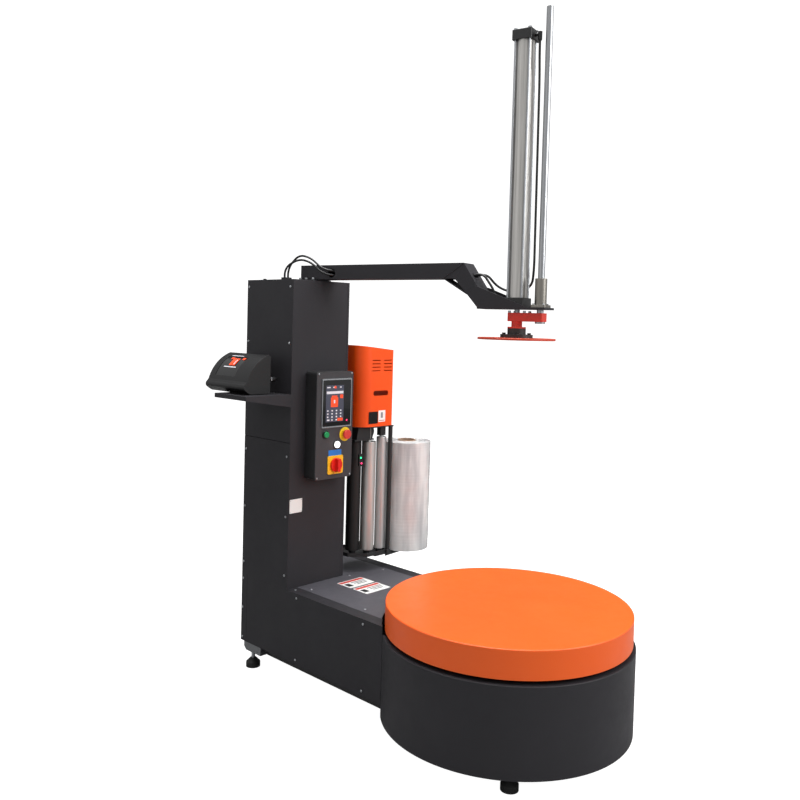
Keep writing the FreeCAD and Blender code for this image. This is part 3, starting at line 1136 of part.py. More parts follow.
def carriage_cover():
    """Cover of the carriage head, open below, with louvres and an oblong slot."""
    x0, x1, y0, y1 = CAR_X0, CAR_X1, CAR_Y0, CAR_Y1

    def block(inset, z0, z1, rise):
        """Plan with one large round corner, lifted to a top that slopes."""
        a, b, c, d = x0 + inset, x1 - inset, y0 + inset, y1
        r = COVER_R - inset
        k = r * (1 - math.sqrt(0.5))
        edges = [Part.makeLine(V(a + r, c, z0), V(b, c, z0)), Part.makeLine(V(b, c, z0), V(b, d, z0)),
                 Part.makeLine(V(b, d, z0), V(a, d, z0)), Part.makeLine(V(a, d, z0), V(a, c + r, z0)),
                 Part.Arc(V(a, c + r, z0), V(a + k, c + k, z0), V(a + r, c, z0)).toShape()]
        solid = Part.Face(Part.Wire(edges)).extrude(V(0, 0, z1 - z0 + rise))
        slope = prism([(x0, y0 - 1, z1 + rise), (x1 + 1, y0 - 1, z1), (x1 + 1, y0 - 1, z1 + 80),
                       (x0 - 1, y0 - 1, z1 + 80), (x0 - 1, y0 - 1, z1 + rise)], (0, CAR_D + 2, 0))
        return solid.cut(slope)
    shell = block(0, COVER_Z0, COVER_TOP, COVER_RISE).cut(block(SHEET, COVER_Z0 - 5, COVER_TOP - SHEET,
                                                                COVER_RISE))
    tools = []
    for column in (62, 134):
        for row in range(4):
            z = COVER_TOP - 46 - 15.5 * row
            tools.append(box(x0 + column, x0 + column + 50, y0 - 1, y0 + SHEET + 1, z - 2.2, z + 2.2))
    slot_z = COVER_TOP - 194
    tools.append(rounded(box(x0 + 72, x0 + 164, y0 - 1, y0 + SHEET + 1, slot_z - 11, slot_z + 11), 9,
                         (0, 1, 0)))
    return cut(shell, tools)


def roll_holder():
    """Tapered bracket under the tray, disc under the core and the short mandrel."""
    z1 = ROLL_Z0 - 4
    z0 = z1 - HOLDER_T
    disc = rod(ROLL_X, ROLL_Y, z0, z1, HOLDER_R)
    root = (CAR_X1 - 74, CAR_X1 - 8)
    y0, y1 = CAR_Y0 + 10, CAR_Y0 + 92
    outline = [(root[0], y0, z0), (root[1], y0, z0), (ROLL_X, ROLL_Y - 26, z0), (ROLL_X, ROLL_Y + 26, z0),
               (root[1], y1, z0), (root[0], y1, z0)]
    arm = prism(outline, (0, 0, HOLDER_T))
    pad = box(root[0], root[1], y0, y1, z1, CAR_Z0)
    lips = [prism([(root[1], y, z0 - 9), (root[1], y, z0), (ROLL_X, e, z0)], (0, side * 3, 0))
            for y, e, side in ((y0, ROLL_Y - 26, 1), (y1, ROLL_Y + 26, -1))]
    mandrel = rod(ROLL_X, ROLL_Y, z1, ROLL_Z0 + 60, CORE_R - CORE_WALL - GAP)
    return fuse([disc, arm, pad, mandrel] + lips)


def film():
    """Cardboard core and the wound film on it."""
    core = ring(ROLL_X, ROLL_Y, ROLL_Z0 - 3, ROLL_Z0 + FILM_W + 3, CORE_R, CORE_R - CORE_WALL)
    wound = ring(ROLL_X, ROLL_Y, ROLL_Z0, ROLL_Z0 + FILM_W, FILM_R, CORE_R)
    return core, wound


# ---------------------------------------------------------------- fasteners
def screw(x, y, z, direction, radius=5.0, height=2.4):
    """Low round head that stands on a sheet, facing along a direction."""
    head = Part.makeCylinder(radius, height, V(x, y, z), V(*direction))
    rim = [e for e in head.Edges if e.Curve.TypeId == "Part::GeomCircle"
           and (e.CenterOfMass - V(x, y, z)).Length > height / 2]
    return head.makeFillet(height * 0.6, rim)


def cover_screws():
    """Visible heads on the covers, the panel door and the column."""
    heads = []
    top = COLUMN_TOP - TOP_PLATE_T
    left = (-1, 0, 0)
    for y in (COLUMN_FRONT + 19, BASE_REAR - 12):
        for z in (top - 28, top - 262, SIDE_SPLIT_Z + 174, SIDE_SPLIT_Z - 58, SIDE_SPLIT_Z - 310,
                  BASE_TOP + 57):
            if z > SHELF_Z or z < SHELF_Z - SHELF_WEB:
                heads.append(screw(BASE_LEFT, y, z, left))
    for y in (COLUMN_FRONT - 65, COLUMN_FRONT - 464):
        for z in (BASE_TOP - 19, BASE_BOTTOM + 20):
            heads.append(screw(BASE_LEFT, y, z, left))
            heads.append(screw(BASE_RIGHT, max(y, DRUM_R + 10), z, (1, 0, 0)))
    for z in (BASE_TOP - 19, (BASE_TOP + BASE_BOTTOM) / 2, BASE_BOTTOM + 16):
        heads.append(screw(BASE_LEFT, BASE_REAR - 11, z, left))
        heads.append(screw(BASE_RIGHT, BASE_REAR - 11, z, (1, 0, 0)))
    x0, x1 = BASE_LEFT + BASE_FLANGE + 25, BASE_RIGHT - BASE_FLANGE - 25
    for x, y in ((x0, COLUMN_FRONT - 62), (x0, 480), (x1, COLUMN_FRONT - 52), (x1, 560),
                 (COLUMN_RIGHT + 22, COLUMN_FRONT - 20),
                 (BASE_LEFT + 27, COLUMN_FRONT - 24), (x1, BASE_REAR - 90)):
        heads.append(screw(x, y, BASE_TOP, (0, 0, 1)))
    y = PANEL_Y0
    for x in (PANEL_X0 + 10, PANEL_X0 + PANEL_W - 10):
        for z in (PANEL_Z0 + 9, PANEL_Z0 + PANEL_H - 8):
            heads.append(screw(x, y, z, (0, -1, 0), 4.0, 2.0))
    for z in (BASE_TOP + 40, (BASE_TOP + top) / 2, top - 40):
        for x in (BASE_LEFT + 20, COLUMN_RIGHT - 20):
            heads.append(screw(x, BASE_REAR, z, (0, 1, 0)))
    for x in (BASE_LEFT + 60, BASE_MID, BASE_RIGHT - 60):
        for z in (BASE_BOTTOM + 20, BASE_TOP - 25):
            heads.append(screw(x, BASE_REAR, z, (0, 1, 0)))
    return heads


def arm_bolts():
    """Hexagon bolts of the arm foot and cap screws of the guide bush."""
    bolts = []
    z = COLUMN_TOP + ARM_FOOT_T
    for s in (ARM_REAR_S - 8, ARM_REAR_S - 40, ARM_REAR_S - 78):
        for x in (-ARM_W / 2 - 11, ARM_W / 2 + 11):
            bolts.append(on_arm(hex_prism(x, s, z, 7, 7.5)))
    for x in (-20, 20):
        for y in (GUIDE_S - 20, GUIDE_S + 20):
            bolts.append(on_arm(rod(x, y, LEG_END_Z + 10, LEG_END_Z + 15, 4)))
    return bolts


# ---------------------------------------------------------------- assembly
def build():
    """Make every node."""
    add("base_frame", base_frame())
    add("rear_beam", rear_beam())
    pads, studs = feet()
    add("foot_pads", *pads)
    add("foot_studs", *studs)
    add("drum_skirt", drum_skirt())
    add("base_side_panels", *base_side_panels())
    add("base_top_plate", base_top_plate())
    add("rear_covers", *rear_covers())
    add("load_cells", *load_cells())
    add("weigh_platform", weigh_platform())
    add("slew_ring", slew_ring())
    add("table_hub", table_hub())
    add("turntable_disc", turntable_disc())
    motor, wheel, belt = table_drive()
    add("table_gearmotor", motor)
    add("drive_pulley", wheel)
    add("drive_belt", belt)
    add("column_side_covers", *column_side_covers())
    add("column_front_panel", column_front_panel())
    add("column_right_panel", column_right_panel())
    add("column_top_plate", column_top_plate())
    add("mast_rails", *mast_rails())
    pulleys, lift_belt, lift_motor = lift_drive()
    add("lift_pulley_bottom", pulleys[0])
    add("lift_pulley_top", pulleys[1])
    add("lift_belt", lift_belt)
    add("lift_gearmotor", lift_motor)
    add("control_gear", *control_gear())
    add("panel_box", panel_box())
    add("panel_door", panel_door())
    add("touch_screen", touch_screen())
    places = CONTROLS
    add("estop_button", push_button(places["estop"], ESTOP_R, 10, 12))
    add("start_button", push_button(places["start"], START_R, 5, 6))
    add("lamp_button", push_button(places["lamp"], LAMP_R, 5, 6))
    add("main_switch", main_switch())
    add("switch_plates", *switch_plates())
    add("terminal_shelf", terminal_shelf())
    housing, screen = terminal()
    add("terminal_housing", housing)
    add("terminal_screen", screen)
    add("arm_beam", arm_beam())
    add("arm_leg", arm_leg())
    barrel, caps, ties = cylinder()
    add("cylinder_barrel", barrel)
    add("cylinder_caps", *caps)
    add("tie_rods", *ties)
    add("guide_bushing", guide_bushing())
    piston, guide, bar = press_ram()
    add("piston_rod", piston)
    add("guide_rod", guide)
    add("coupling_bar", bar)
    add("press_plate", press_plate())
    add("air_hoses", *air_hoses())
    add("trolley", trolley())
    add("slide_shoes", *slide_shoes())
    add("carriage_frame", carriage_frame())
    rubber, steel, idler = rollers()
    add("rubber_roller", rubber)
    add("steel_roller", steel)
    add("idler_roller", idler)
    add("roller_drive", roller_drive())
    add("carriage_cover", carriage_cover())
    add("roll_holder", roll_holder())
    core, wound = film()
    add("film_core", core)
    add("film_roll", wound)
    add("visible_fasteners", *cover_screws(), *arm_bolts())


def place():
    """Shift from the turntable axis to the bottom centre of the whole box."""
    boxes = [s.optimalBoundingBox(False, False) for s in PARTS.values()]
    low = [min(getattr(b, k) for b in boxes) for k in ("XMin", "YMin", "ZMin")]
    high = [max(getattr(b, k) for b in boxes) for k in ("XMax", "YMax", "ZMax")]
    return V(-(low[0] + high[0]) / 2, -(low[1] + high[1]) / 2, -low[2])


build()
ORIGIN = place()
os.makedirs("parts", exist_ok=True)
for node, shape in PARTS.items():
    shape.translate(ORIGIN)
    shape.exportStep("parts/" + node + ".step")
print(len(PARTS), "nodes, shift", ORIGIN)
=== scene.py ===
"""Finishes, small fittings, light and camera of a turntable wrapper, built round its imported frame.

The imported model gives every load-bearing shape. This script dresses each of its nodes in the finish the
real piece has, and adds what is too thin or too soft for the frame: printed plates, lit screens, bezels,
hose fittings, weld seams and the wound film. Lengths are metres; +Z is up and +Y runs from the turntable
to the column.
"""
from __future__ import annotations

import logging
import math
from dataclasses import dataclass, field
from enum import Enum

import bpy
import bmesh
import numpy as np
from mathutils import Matrix, Vector

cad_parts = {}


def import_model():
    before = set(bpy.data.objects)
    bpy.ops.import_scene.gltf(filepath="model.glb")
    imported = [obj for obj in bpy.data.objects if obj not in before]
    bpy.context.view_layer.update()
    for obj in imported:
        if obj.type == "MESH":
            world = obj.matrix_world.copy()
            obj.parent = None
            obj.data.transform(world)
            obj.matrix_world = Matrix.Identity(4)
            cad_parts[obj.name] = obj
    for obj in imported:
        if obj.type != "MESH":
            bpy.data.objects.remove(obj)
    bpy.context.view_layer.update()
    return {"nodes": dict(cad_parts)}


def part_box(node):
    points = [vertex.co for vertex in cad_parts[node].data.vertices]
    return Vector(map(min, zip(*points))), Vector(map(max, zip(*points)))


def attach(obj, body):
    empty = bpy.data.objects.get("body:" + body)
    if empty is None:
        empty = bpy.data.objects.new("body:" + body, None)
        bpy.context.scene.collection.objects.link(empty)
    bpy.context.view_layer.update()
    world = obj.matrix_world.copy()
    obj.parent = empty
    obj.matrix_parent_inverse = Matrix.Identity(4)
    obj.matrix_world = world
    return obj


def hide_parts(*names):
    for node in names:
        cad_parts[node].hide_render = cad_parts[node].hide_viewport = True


LOG = logging.getLogger("wrapper")
MM = 0.001
BLACK, WHITE = "#000000", "#ffffff"
Box = tuple[float, float, float, float]  # left, right, bottom and top in millimetres


class Axis(Enum):
    """Direction in which a brushed, drawn or extruded surface runs."""

    X = 0
    Y = 1
    Z = 2


def linear(code: str, alpha: float = 1.0) -> tuple[float, float, float, float]:
    """Turn an sRGB hex colour into linear light.

    Each channel c becomes c / 12.92 under 0.04045 and ((c + 0.055) / 1.055) ** 2.4 above it.

    Args:
        code: colour such as "#f0601f".
        alpha: opacity to append.

    Returns:
        Red, green, blue and alpha as linear numbers.
    """
    c = np.array([int(code[i:i + 2], 16) for i in (1, 3, 5)]) / 255.0
    rgb = np.where(c <= 0.04045, c / 12.92, ((c + 0.055) / 1.055) ** 2.4)
    return (float(rgb[0]), float(rgb[1]), float(rgb[2]), alpha)


def add_node(tree: bpy.types.NodeTree, kind: str, sockets: dict | None = None,
             **settings) -> bpy.types.Node:
    """Add a shader node with its settings, constants and links.

    Args:
        tree: node tree that receives the node.
        kind: Blender's name for the node type.
        sockets: input name or number to a constant, or to the output socket that feeds it.
        settings: attributes of the node itself.

    Returns:
        The new node.
    """
    node = tree.nodes.new(kind)
    for key, value in settings.items():
        setattr(node, key, value)
    for key, value in (sockets or {}).items():
        if isinstance(value, bpy.types.NodeSocket):
            tree.links.new(value, node.inputs[key])
        else:
            node.inputs[key].default_value = value
    return node


# ---- finishes
@dataclass(frozen=True)
class Finish:
    """What every surface shares: a colour that drifts, a rounded edge and a shine.

    Attributes:
        name: name of the material.
        base: main colour.
        tint: colour it drifts to in broad, soft patches.
        rough: roughness of the shine.
        patch: size of those patches in metres.
        edge: radius that a cut or folded edge has, in metres.
    """

    name: str
    base: str
    tint: str
    rough: float = 0.5
    patch: float = 0.25
    edge: float = 0.0012

    def material(self) -> bpy.types.Material:
        """Return the material, made on first use."""
        made = bpy.data.materials.get(self.name)
        if made:
            return made
        made = bpy.data.materials.new(self.name)
        made.use_nodes = True
        tree = made.node_tree
        tree.nodes.clear()
        place = add_node(tree, "ShaderNodeTexCoord").outputs["Object"]
        drift = add_node(tree, "ShaderNodeTexNoise",
                         {"Vector": place, "Scale": 1 / self.patch, "Detail": 3.0})
        colour = add_node(tree, "ShaderNodeMixRGB", {
            "Fac": drift.outputs["Fac"], "Color1": linear(self.base), "Color2": linear(self.tint)})
        shader = add_node(tree, "ShaderNodeBsdfPrincipled", {
            "Base Color": colour.outputs["Color"], "Roughness": self.rough})
        rounded = add_node(tree, "ShaderNodeBevel", {"Radius": self.edge}, samples=4)
        self.dress(tree, place, shader, rounded.outputs["Normal"])
        add_node(tree, "ShaderNodeOutputMaterial", {"Surface": shader.outputs["BSDF"]})
        return made

    def dress(self, tree: bpy.types.NodeTree, place: bpy.types.NodeSocket, shader: bpy.types.Node,
              normal: bpy.types.NodeSocket) -> None:
        """Give the shader what is particular to the finish."""
        tree.links.new(normal, shader.inputs["Normal"])


@dataclass(frozen=True)
class PowderCoat(Finish):
    """Baked polyester powder on steel sheet: satin, with a fine orange-peel skin.

    The skin's waves are about 2.5 mm apart on the real cover and are drawn at 4 mm so that they show.

    Attributes:
        wave: distance between waves, in metres.
        depth: their height in metres.
        coat: share of clear lacquer.
        specular: strength of the shine.
    """

    wave: float = 0.004
    depth: float = 0.00005
    coat: float = 0.0
    specular: float = 0.5

    def dress(self, tree, place, shader, normal) -> None:
        """Waves bend the normal; a faint speckle changes the roughness."""
        waves = add_node(tree, "ShaderNodeTexNoise",
                         {"Vector": place, "Scale": 1 / self.wave, "Detail": 2.0})
        bump = add_node(tree, "ShaderNodeBump", {
            "Height": waves.outputs["Fac"], "Distance": self.depth, "Strength": 0.8, "Normal": normal})
        rubbed = add_node(tree, "ShaderNodeTexNoise", {
            "Vector": place, "Scale": 9.0, "Detail": 6.0, "Roughness": 0.7})
        rough = add_node(tree, "ShaderNodeMapRange", {
            "Value": rubbed.outputs["Fac"], "From Min": 0.3, "From Max": 0.7,
            "To Min": self.rough - 0.06, "To Max": self.rough + 0.07})
        tree.links.new(rough.outputs["Result"], shader.inputs["Roughness"])
        tree.links.new(bump.outputs["Normal"], shader.inputs["Normal"])
        shader.inputs["Coat Weight"].default_value = self.coat
        shader.inputs["Coat Roughness"].default_value = 0.25
        shader.inputs["Specular IOR Level"].default_value = self.specular


@dataclass(frozen=True)
class WorkedMetal(Finish):
    """Bare metal with lines along one direction: drawn tube, ground bar, brushed sheet or extrusion.

    Attributes:
        along: direction of the lines.
        line: distance between lines, in metres, drawn coarser than the real 0.1 mm.
        streak: how strongly light and dark streaks show, from 0 to 1.
    """

    along: Axis = Axis.Z
    line: float = 0.0015
    streak: float = 0.35

    def dress(self, tree, place, shader, normal) -> None:
        """Noise stretched 60 times along the lines sets streaks, roughness and a slight relief."""
        scale = [1 / self.line] * 3
        scale[self.along.value] /= 60.0
        turned = add_node(tree, "ShaderNodeMapping", {"Vector": place, "Scale": tuple(scale)})
        lines = add_node(tree, "ShaderNodeTexNoise", {
            "Vector": turned.outputs["Vector"], "Scale": 1.0, "Detail": 4.0})
        rough = add_node(tree, "ShaderNodeMapRange", {
            "Value": lines.outputs["Fac"], "From Min": 0.25, "From Max": 0.75,
            "To Min": self.rough - 0.05, "To Max": self.rough + 0.10})
        colour = shader.inputs["Base Color"].links[0].from_node
        dark = add_node(tree, "ShaderNodeMapRange", {
            "Value": lines.outputs["Fac"], "From Min": 0.3, "From Max": 0.7,
            "To Min": 1 - self.streak, "To Max": 1.0})
        shaded = add_node(tree, "ShaderNodeMixRGB", {
            "Fac": 1.0, "Color1": colour.outputs["Color"], "Color2": dark.outputs["Result"]},
            blend_type="MULTIPLY")
        bump = add_node(tree, "ShaderNodeBump", {
            "Height": lines.outputs["Fac"], "Distance": 0.00003, "Strength": 0.6, "Normal": normal})
        tree.links.new(shaded.outputs["Color"], shader.inputs["Base Color"])
        tree.links.new(rough.outputs["Result"], shader.inputs["Roughness"])
        tree.links.new(bump.outputs["Normal"], shader.inputs["Normal"])
        shader.inputs["Metallic"].default_value = 1.0


@dataclass(frozen=True)
class Moulding(Finish):
    """Injection-moulded plastic or cast rubber; its grain of about 0.6 mm is drawn at 1.2 mm.

    Attributes:
        grain: size of the grain in metres.
        depth: its height in metres.
        glow: strength of the light that a lit cap gives off.
    """

    grain: float = 0.0012
    depth: float = 0.00006
    glow: float = 0.0

    def dress(self, tree, place, shader, normal) -> None:
        """A cell pattern gives the grain; a lit cap also gives off its own colour."""
        cells = add_node(tree, "ShaderNodeTexVoronoi", {"Vector": place, "Scale": 1 / self.grain})
        bump = add_node(tree, "ShaderNodeBump", {
            "Height": cells.outputs["Distance"], "Distance": self.depth, "Strength": 0.5, "Normal":
            normal})
        tree.links.new(bump.outputs["Normal"], shader.inputs["Normal"])
        if self.glow:
            shader.inputs["Emission Color"].default_value = linear(self.base)
            shader.inputs["Emission Strength"].default_value = self.glow


@dataclass(frozen=True)
class TwoTone(PowderCoat):
    """Two paints on one welded piece: the second begins above a height.

    Attributes:
        second: colour above the height.
        height: that height in metres.
    """

    second: str = BLACK
    height: float = 0.0

    def dress(self, tree, place, shader, normal) -> None:
        """A step on the Z coordinate chooses the paint."""
        super().dress(tree, place, shader, normal)
        z = add_node(tree, "ShaderNodeSeparateXYZ", {"Vector": place}).outputs["Z"]
        above = add_node(tree, "ShaderNodeMath", {0: z, 1: self.height}, operation="GREATER_THAN")
        colour = shader.inputs["Base Color"].links[0].from_socket
        both = add_node(tree, "ShaderNodeMixRGB", {
            "Fac": above.outputs["Value"], "Color1": colour, "Color2": linear(self.second)})
        tree.links.new(both.outputs["Color"], shader.inputs["Base Color"])


@dataclass(frozen=True)
class WoundFilm(Finish):
    """Clear polyethylene wound hundreds of times: milky, with leaning streaks of painted highlight and
    painted shade, and level bands.
    """

    def dress(self, tree, place, shader, normal) -> None:
        """Leaning streaks are painted highlights and painted shade on the film; they also raise a relief
        as uneven tension does, and the bands raise one from the slit edges of each turn.
        """
        tall = add_node(tree, "ShaderNodeMapping", {
            "Vector": place, "Scale": (16.0, 16.0, 2.2), "Rotation": (0.35, -0.35, 0.0)})
        streaks = add_node(tree, "ShaderNodeTexNoise", {
            "Vector": tall.outputs["Vector"], "Scale": 1.0, "Detail": 4.0})
        flat = add_node(tree, "ShaderNodeMapping", {"Vector": place, "Scale": (3.0, 3.0, 130.0)})
        bands = add_node(tree, "ShaderNodeTexNoise", {
            "Vector": flat.outputs["Vector"], "Scale": 1.0, "Detail": 3.0})
        # Painted highlight and painted shade: the streaks mix the grey base towards the near-white tint.
        painted_highlight_share = add_node(tree, "ShaderNodeMapRange", {
            "Value": streaks.outputs["Fac"], "From Min": 0.3, "From Max": 0.56})
        colour = add_node(tree, "ShaderNodeMixRGB", {
            "Fac": painted_highlight_share.outputs["Result"], "Color1": linear(self.base), "Color2": linear(self.tint)})
        height = add_node(tree, "ShaderNodeMath", {0: streaks.outputs["Fac"], 1: bands.outputs["Fac"]},
                          operation="ADD")
        bump = add_node(tree, "ShaderNodeBump", {
            "Height": height.outputs["Value"], "Distance": 0.0012, "Strength": 0.7, "Normal": normal})
        tree.links.new(colour.outputs["Color"], shader.inputs["Base Color"])
        tree.links.new(bump.outputs["Normal"], shader.inputs["Normal"])
        shader.inputs["Coat Weight"].default_value = 0.6
        shader.inputs["Coat Roughness"].default_value = 0.12
        shader.inputs["Transmission Weight"].default_value = 0.25
        shader.inputs["IOR"].default_value = 1.5


@dataclass(frozen=True)
class Glazing(Finish):
    """Hardened glass or acrylic over a dark display: deep, smooth and strongly reflective."""

    def dress(self, tree, place, shader, normal) -> None:
        """A clear coat does the reflecting."""
        tree.links.new(normal, shader.inputs["Normal"])
        shader.inputs["Coat Weight"].default_value = 0.35
        shader.inputs["Coat Roughness"].default_value = 0.03


ANTHRACITE = PowderCoat("anthracite_powder_coat", "#2a292c", "#313034", 0.5, specular=0.25)
# Same anthracite coat as the covers, made lighter for the deck: painted light, the brightness the
# overhead lamps give its top put into the colour.
ANTHRACITE_LIT_TOP = PowderCoat("anthracite_powder_coat_painted_top_light", "#4a494f", "#535258", 0.46)
BLACK_COAT = PowderCoat("black_powder_coat", "#1b1b1c", "#232325", 0.48)
DOOR_COAT = PowderCoat("door_powder_coat", "#333235", "#3b3a3d", 0.45)
ORANGE = PowderCoat("orange_powder_coat", "#ee4e0c", "#f25612", 0.42, coat=0.05, specular=0.3)
TABLE_ORANGE = PowderCoat("turntable_powder_coat", "#f25a0c", "#f56412", 0.40, coat=0.08, patch=0.6)
FRAME_STEEL = WorkedMetal("mill_finish_steel", "#8f9194", "#a3a5a8", 0.42, along=Axis.X)
ZINC = WorkedMetal("zinc_plated_steel", "#b5b8bc", "#c9ccd0", 0.28, line=0.003, streak=0.15, edge=0.0006)
BARREL = WorkedMetal("drawn_aluminium_tube", "#cfccc8", "#dbd9d5", 0.34, line=0.006, streak=0.3)
ANODISED = WorkedMetal("anodised_aluminium", "#a9abad", "#b9bbbd", 0.34, line=0.004, streak=0.2)
STAINLESS = WorkedMetal("ground_stainless_roller", "#cfcdca", "#dedcd9", 0.46, line=0.005, streak=0.15)
IDLER_TUBE = WorkedMetal("anodised_idler_tube", "#c3c3c3", "#d4d4d4", 0.52, line=0.005, streak=0.12)
CHROME = WorkedMetal("hard_chromed_rod", "#abadb0", "#b9bbbe", 0.28, line=0.004, streak=0.18)
BUSH_STEEL = WorkedMetal("turned_bush_steel", "#8d8982", "#a09c95", 0.36, line=0.004, streak=0.2)
BLACK_ANODISED = PowderCoat("black_anodised_caps", "#141415", "#1b1b1c", 0.36, wave=0.002, depth=0.00002)
CAST_IRON = PowderCoat("motor_grey_paint", "#56595c", "#606467", 0.5)
PAD_RUBBER = Moulding("foot_rubber", "#171717", "#202020", 0.62)
ROLLER_RUBBER = Moulding("ground_roller_rubber", "#050505", "#0a0a0b", 0.6)
BLACK_PLASTIC = Moulding("black_moulded_abs", "#0d0d0f", "#131315", 0.4, depth=0.00003)
GREY_PLASTIC = Moulding("grey_moulded_plastic", "#7c8084", "#8a8e92", 0.45)
SHOE_PLASTIC = Moulding("slide_shoe_nylon", "#d8d5cc", "#e3e0d8", 0.45)
HOSE = Moulding("polyurethane_hose", "#151516", "#1e1e20", 0.3, depth=0.00001)
KNOB_RED = Moulding("red_switch_knob", "#d8160f", "#e0231a", 0.28, depth=0.00001)
MUSHROOM = Moulding("emergency_stop_cap", "#c8352b", "#d24036", 0.34, depth=0.00001)
GREEN_CAP = Moulding("green_lit_cap", "#157a44", "#1d8a50", 0.25, depth=0.00001, glow=0.25)
WHITE_CAP = Moulding("white_lit_cap", "#fdfdf8", "#ffffff", 0.3, depth=0.00001, glow=2.2)
YELLOW = Moulding("yellow_plate", "#f2cb12", "#f7d52a", 0.38, depth=0.00001)
SWITCH_YELLOW = Moulding("yellow_switch_plate", "#f7b50c", "#fbc020", 0.38, depth=0.00001)
# Grey base and near-white tint of the film are the ends of its painted shade and painted highlights.
FILM = WoundFilm("wound_stretch_film", "#bfc0c4", "#fdfdfc", 0.2)
CORE = Finish("spiral_core_board", "#8d7460", "#a58a73", 0.8, patch=0.02)
SCREEN = Glazing("display_glass", "#07080a", "#0b0d10", 0.12)
PRINT_WHITE = Finish("printed_plate_white", "#e9e9e6", "#f2f2f0", 0.4)
PRINT_RED = Finish("printed_band_red", "#c9382e", "#d3443a", 0.4)
PRINT_BLUE = Finish("printed_plate_blue", "#1f6fc4", "#2a7cd0", 0.4)
WINDOW = Finish("tinted_window", "#070505", "#0b0908", 0.2)
LIT_PAGE = Moulding("lit_page_grey", "#3a3d4a", "#424655", 0.3, glow=0.35)
LIT_WHITE = Moulding("lit_marks_white", "#c9c9cf", "#d4d4da", 0.3, glow=0.3)
LIT_ORANGE = Moulding("lit_marks_orange", "#e8451c", "#ee552a", 0.3, glow=0.3)
LIT_GREEN = Moulding("lit_lamp_green", "#20e080", "#30f090", 0.3, glow=4.0)
LIT_PINK = Moulding("lit_lamp_red", "#f02860", "#ff3870", 0.3, glow=3.0)


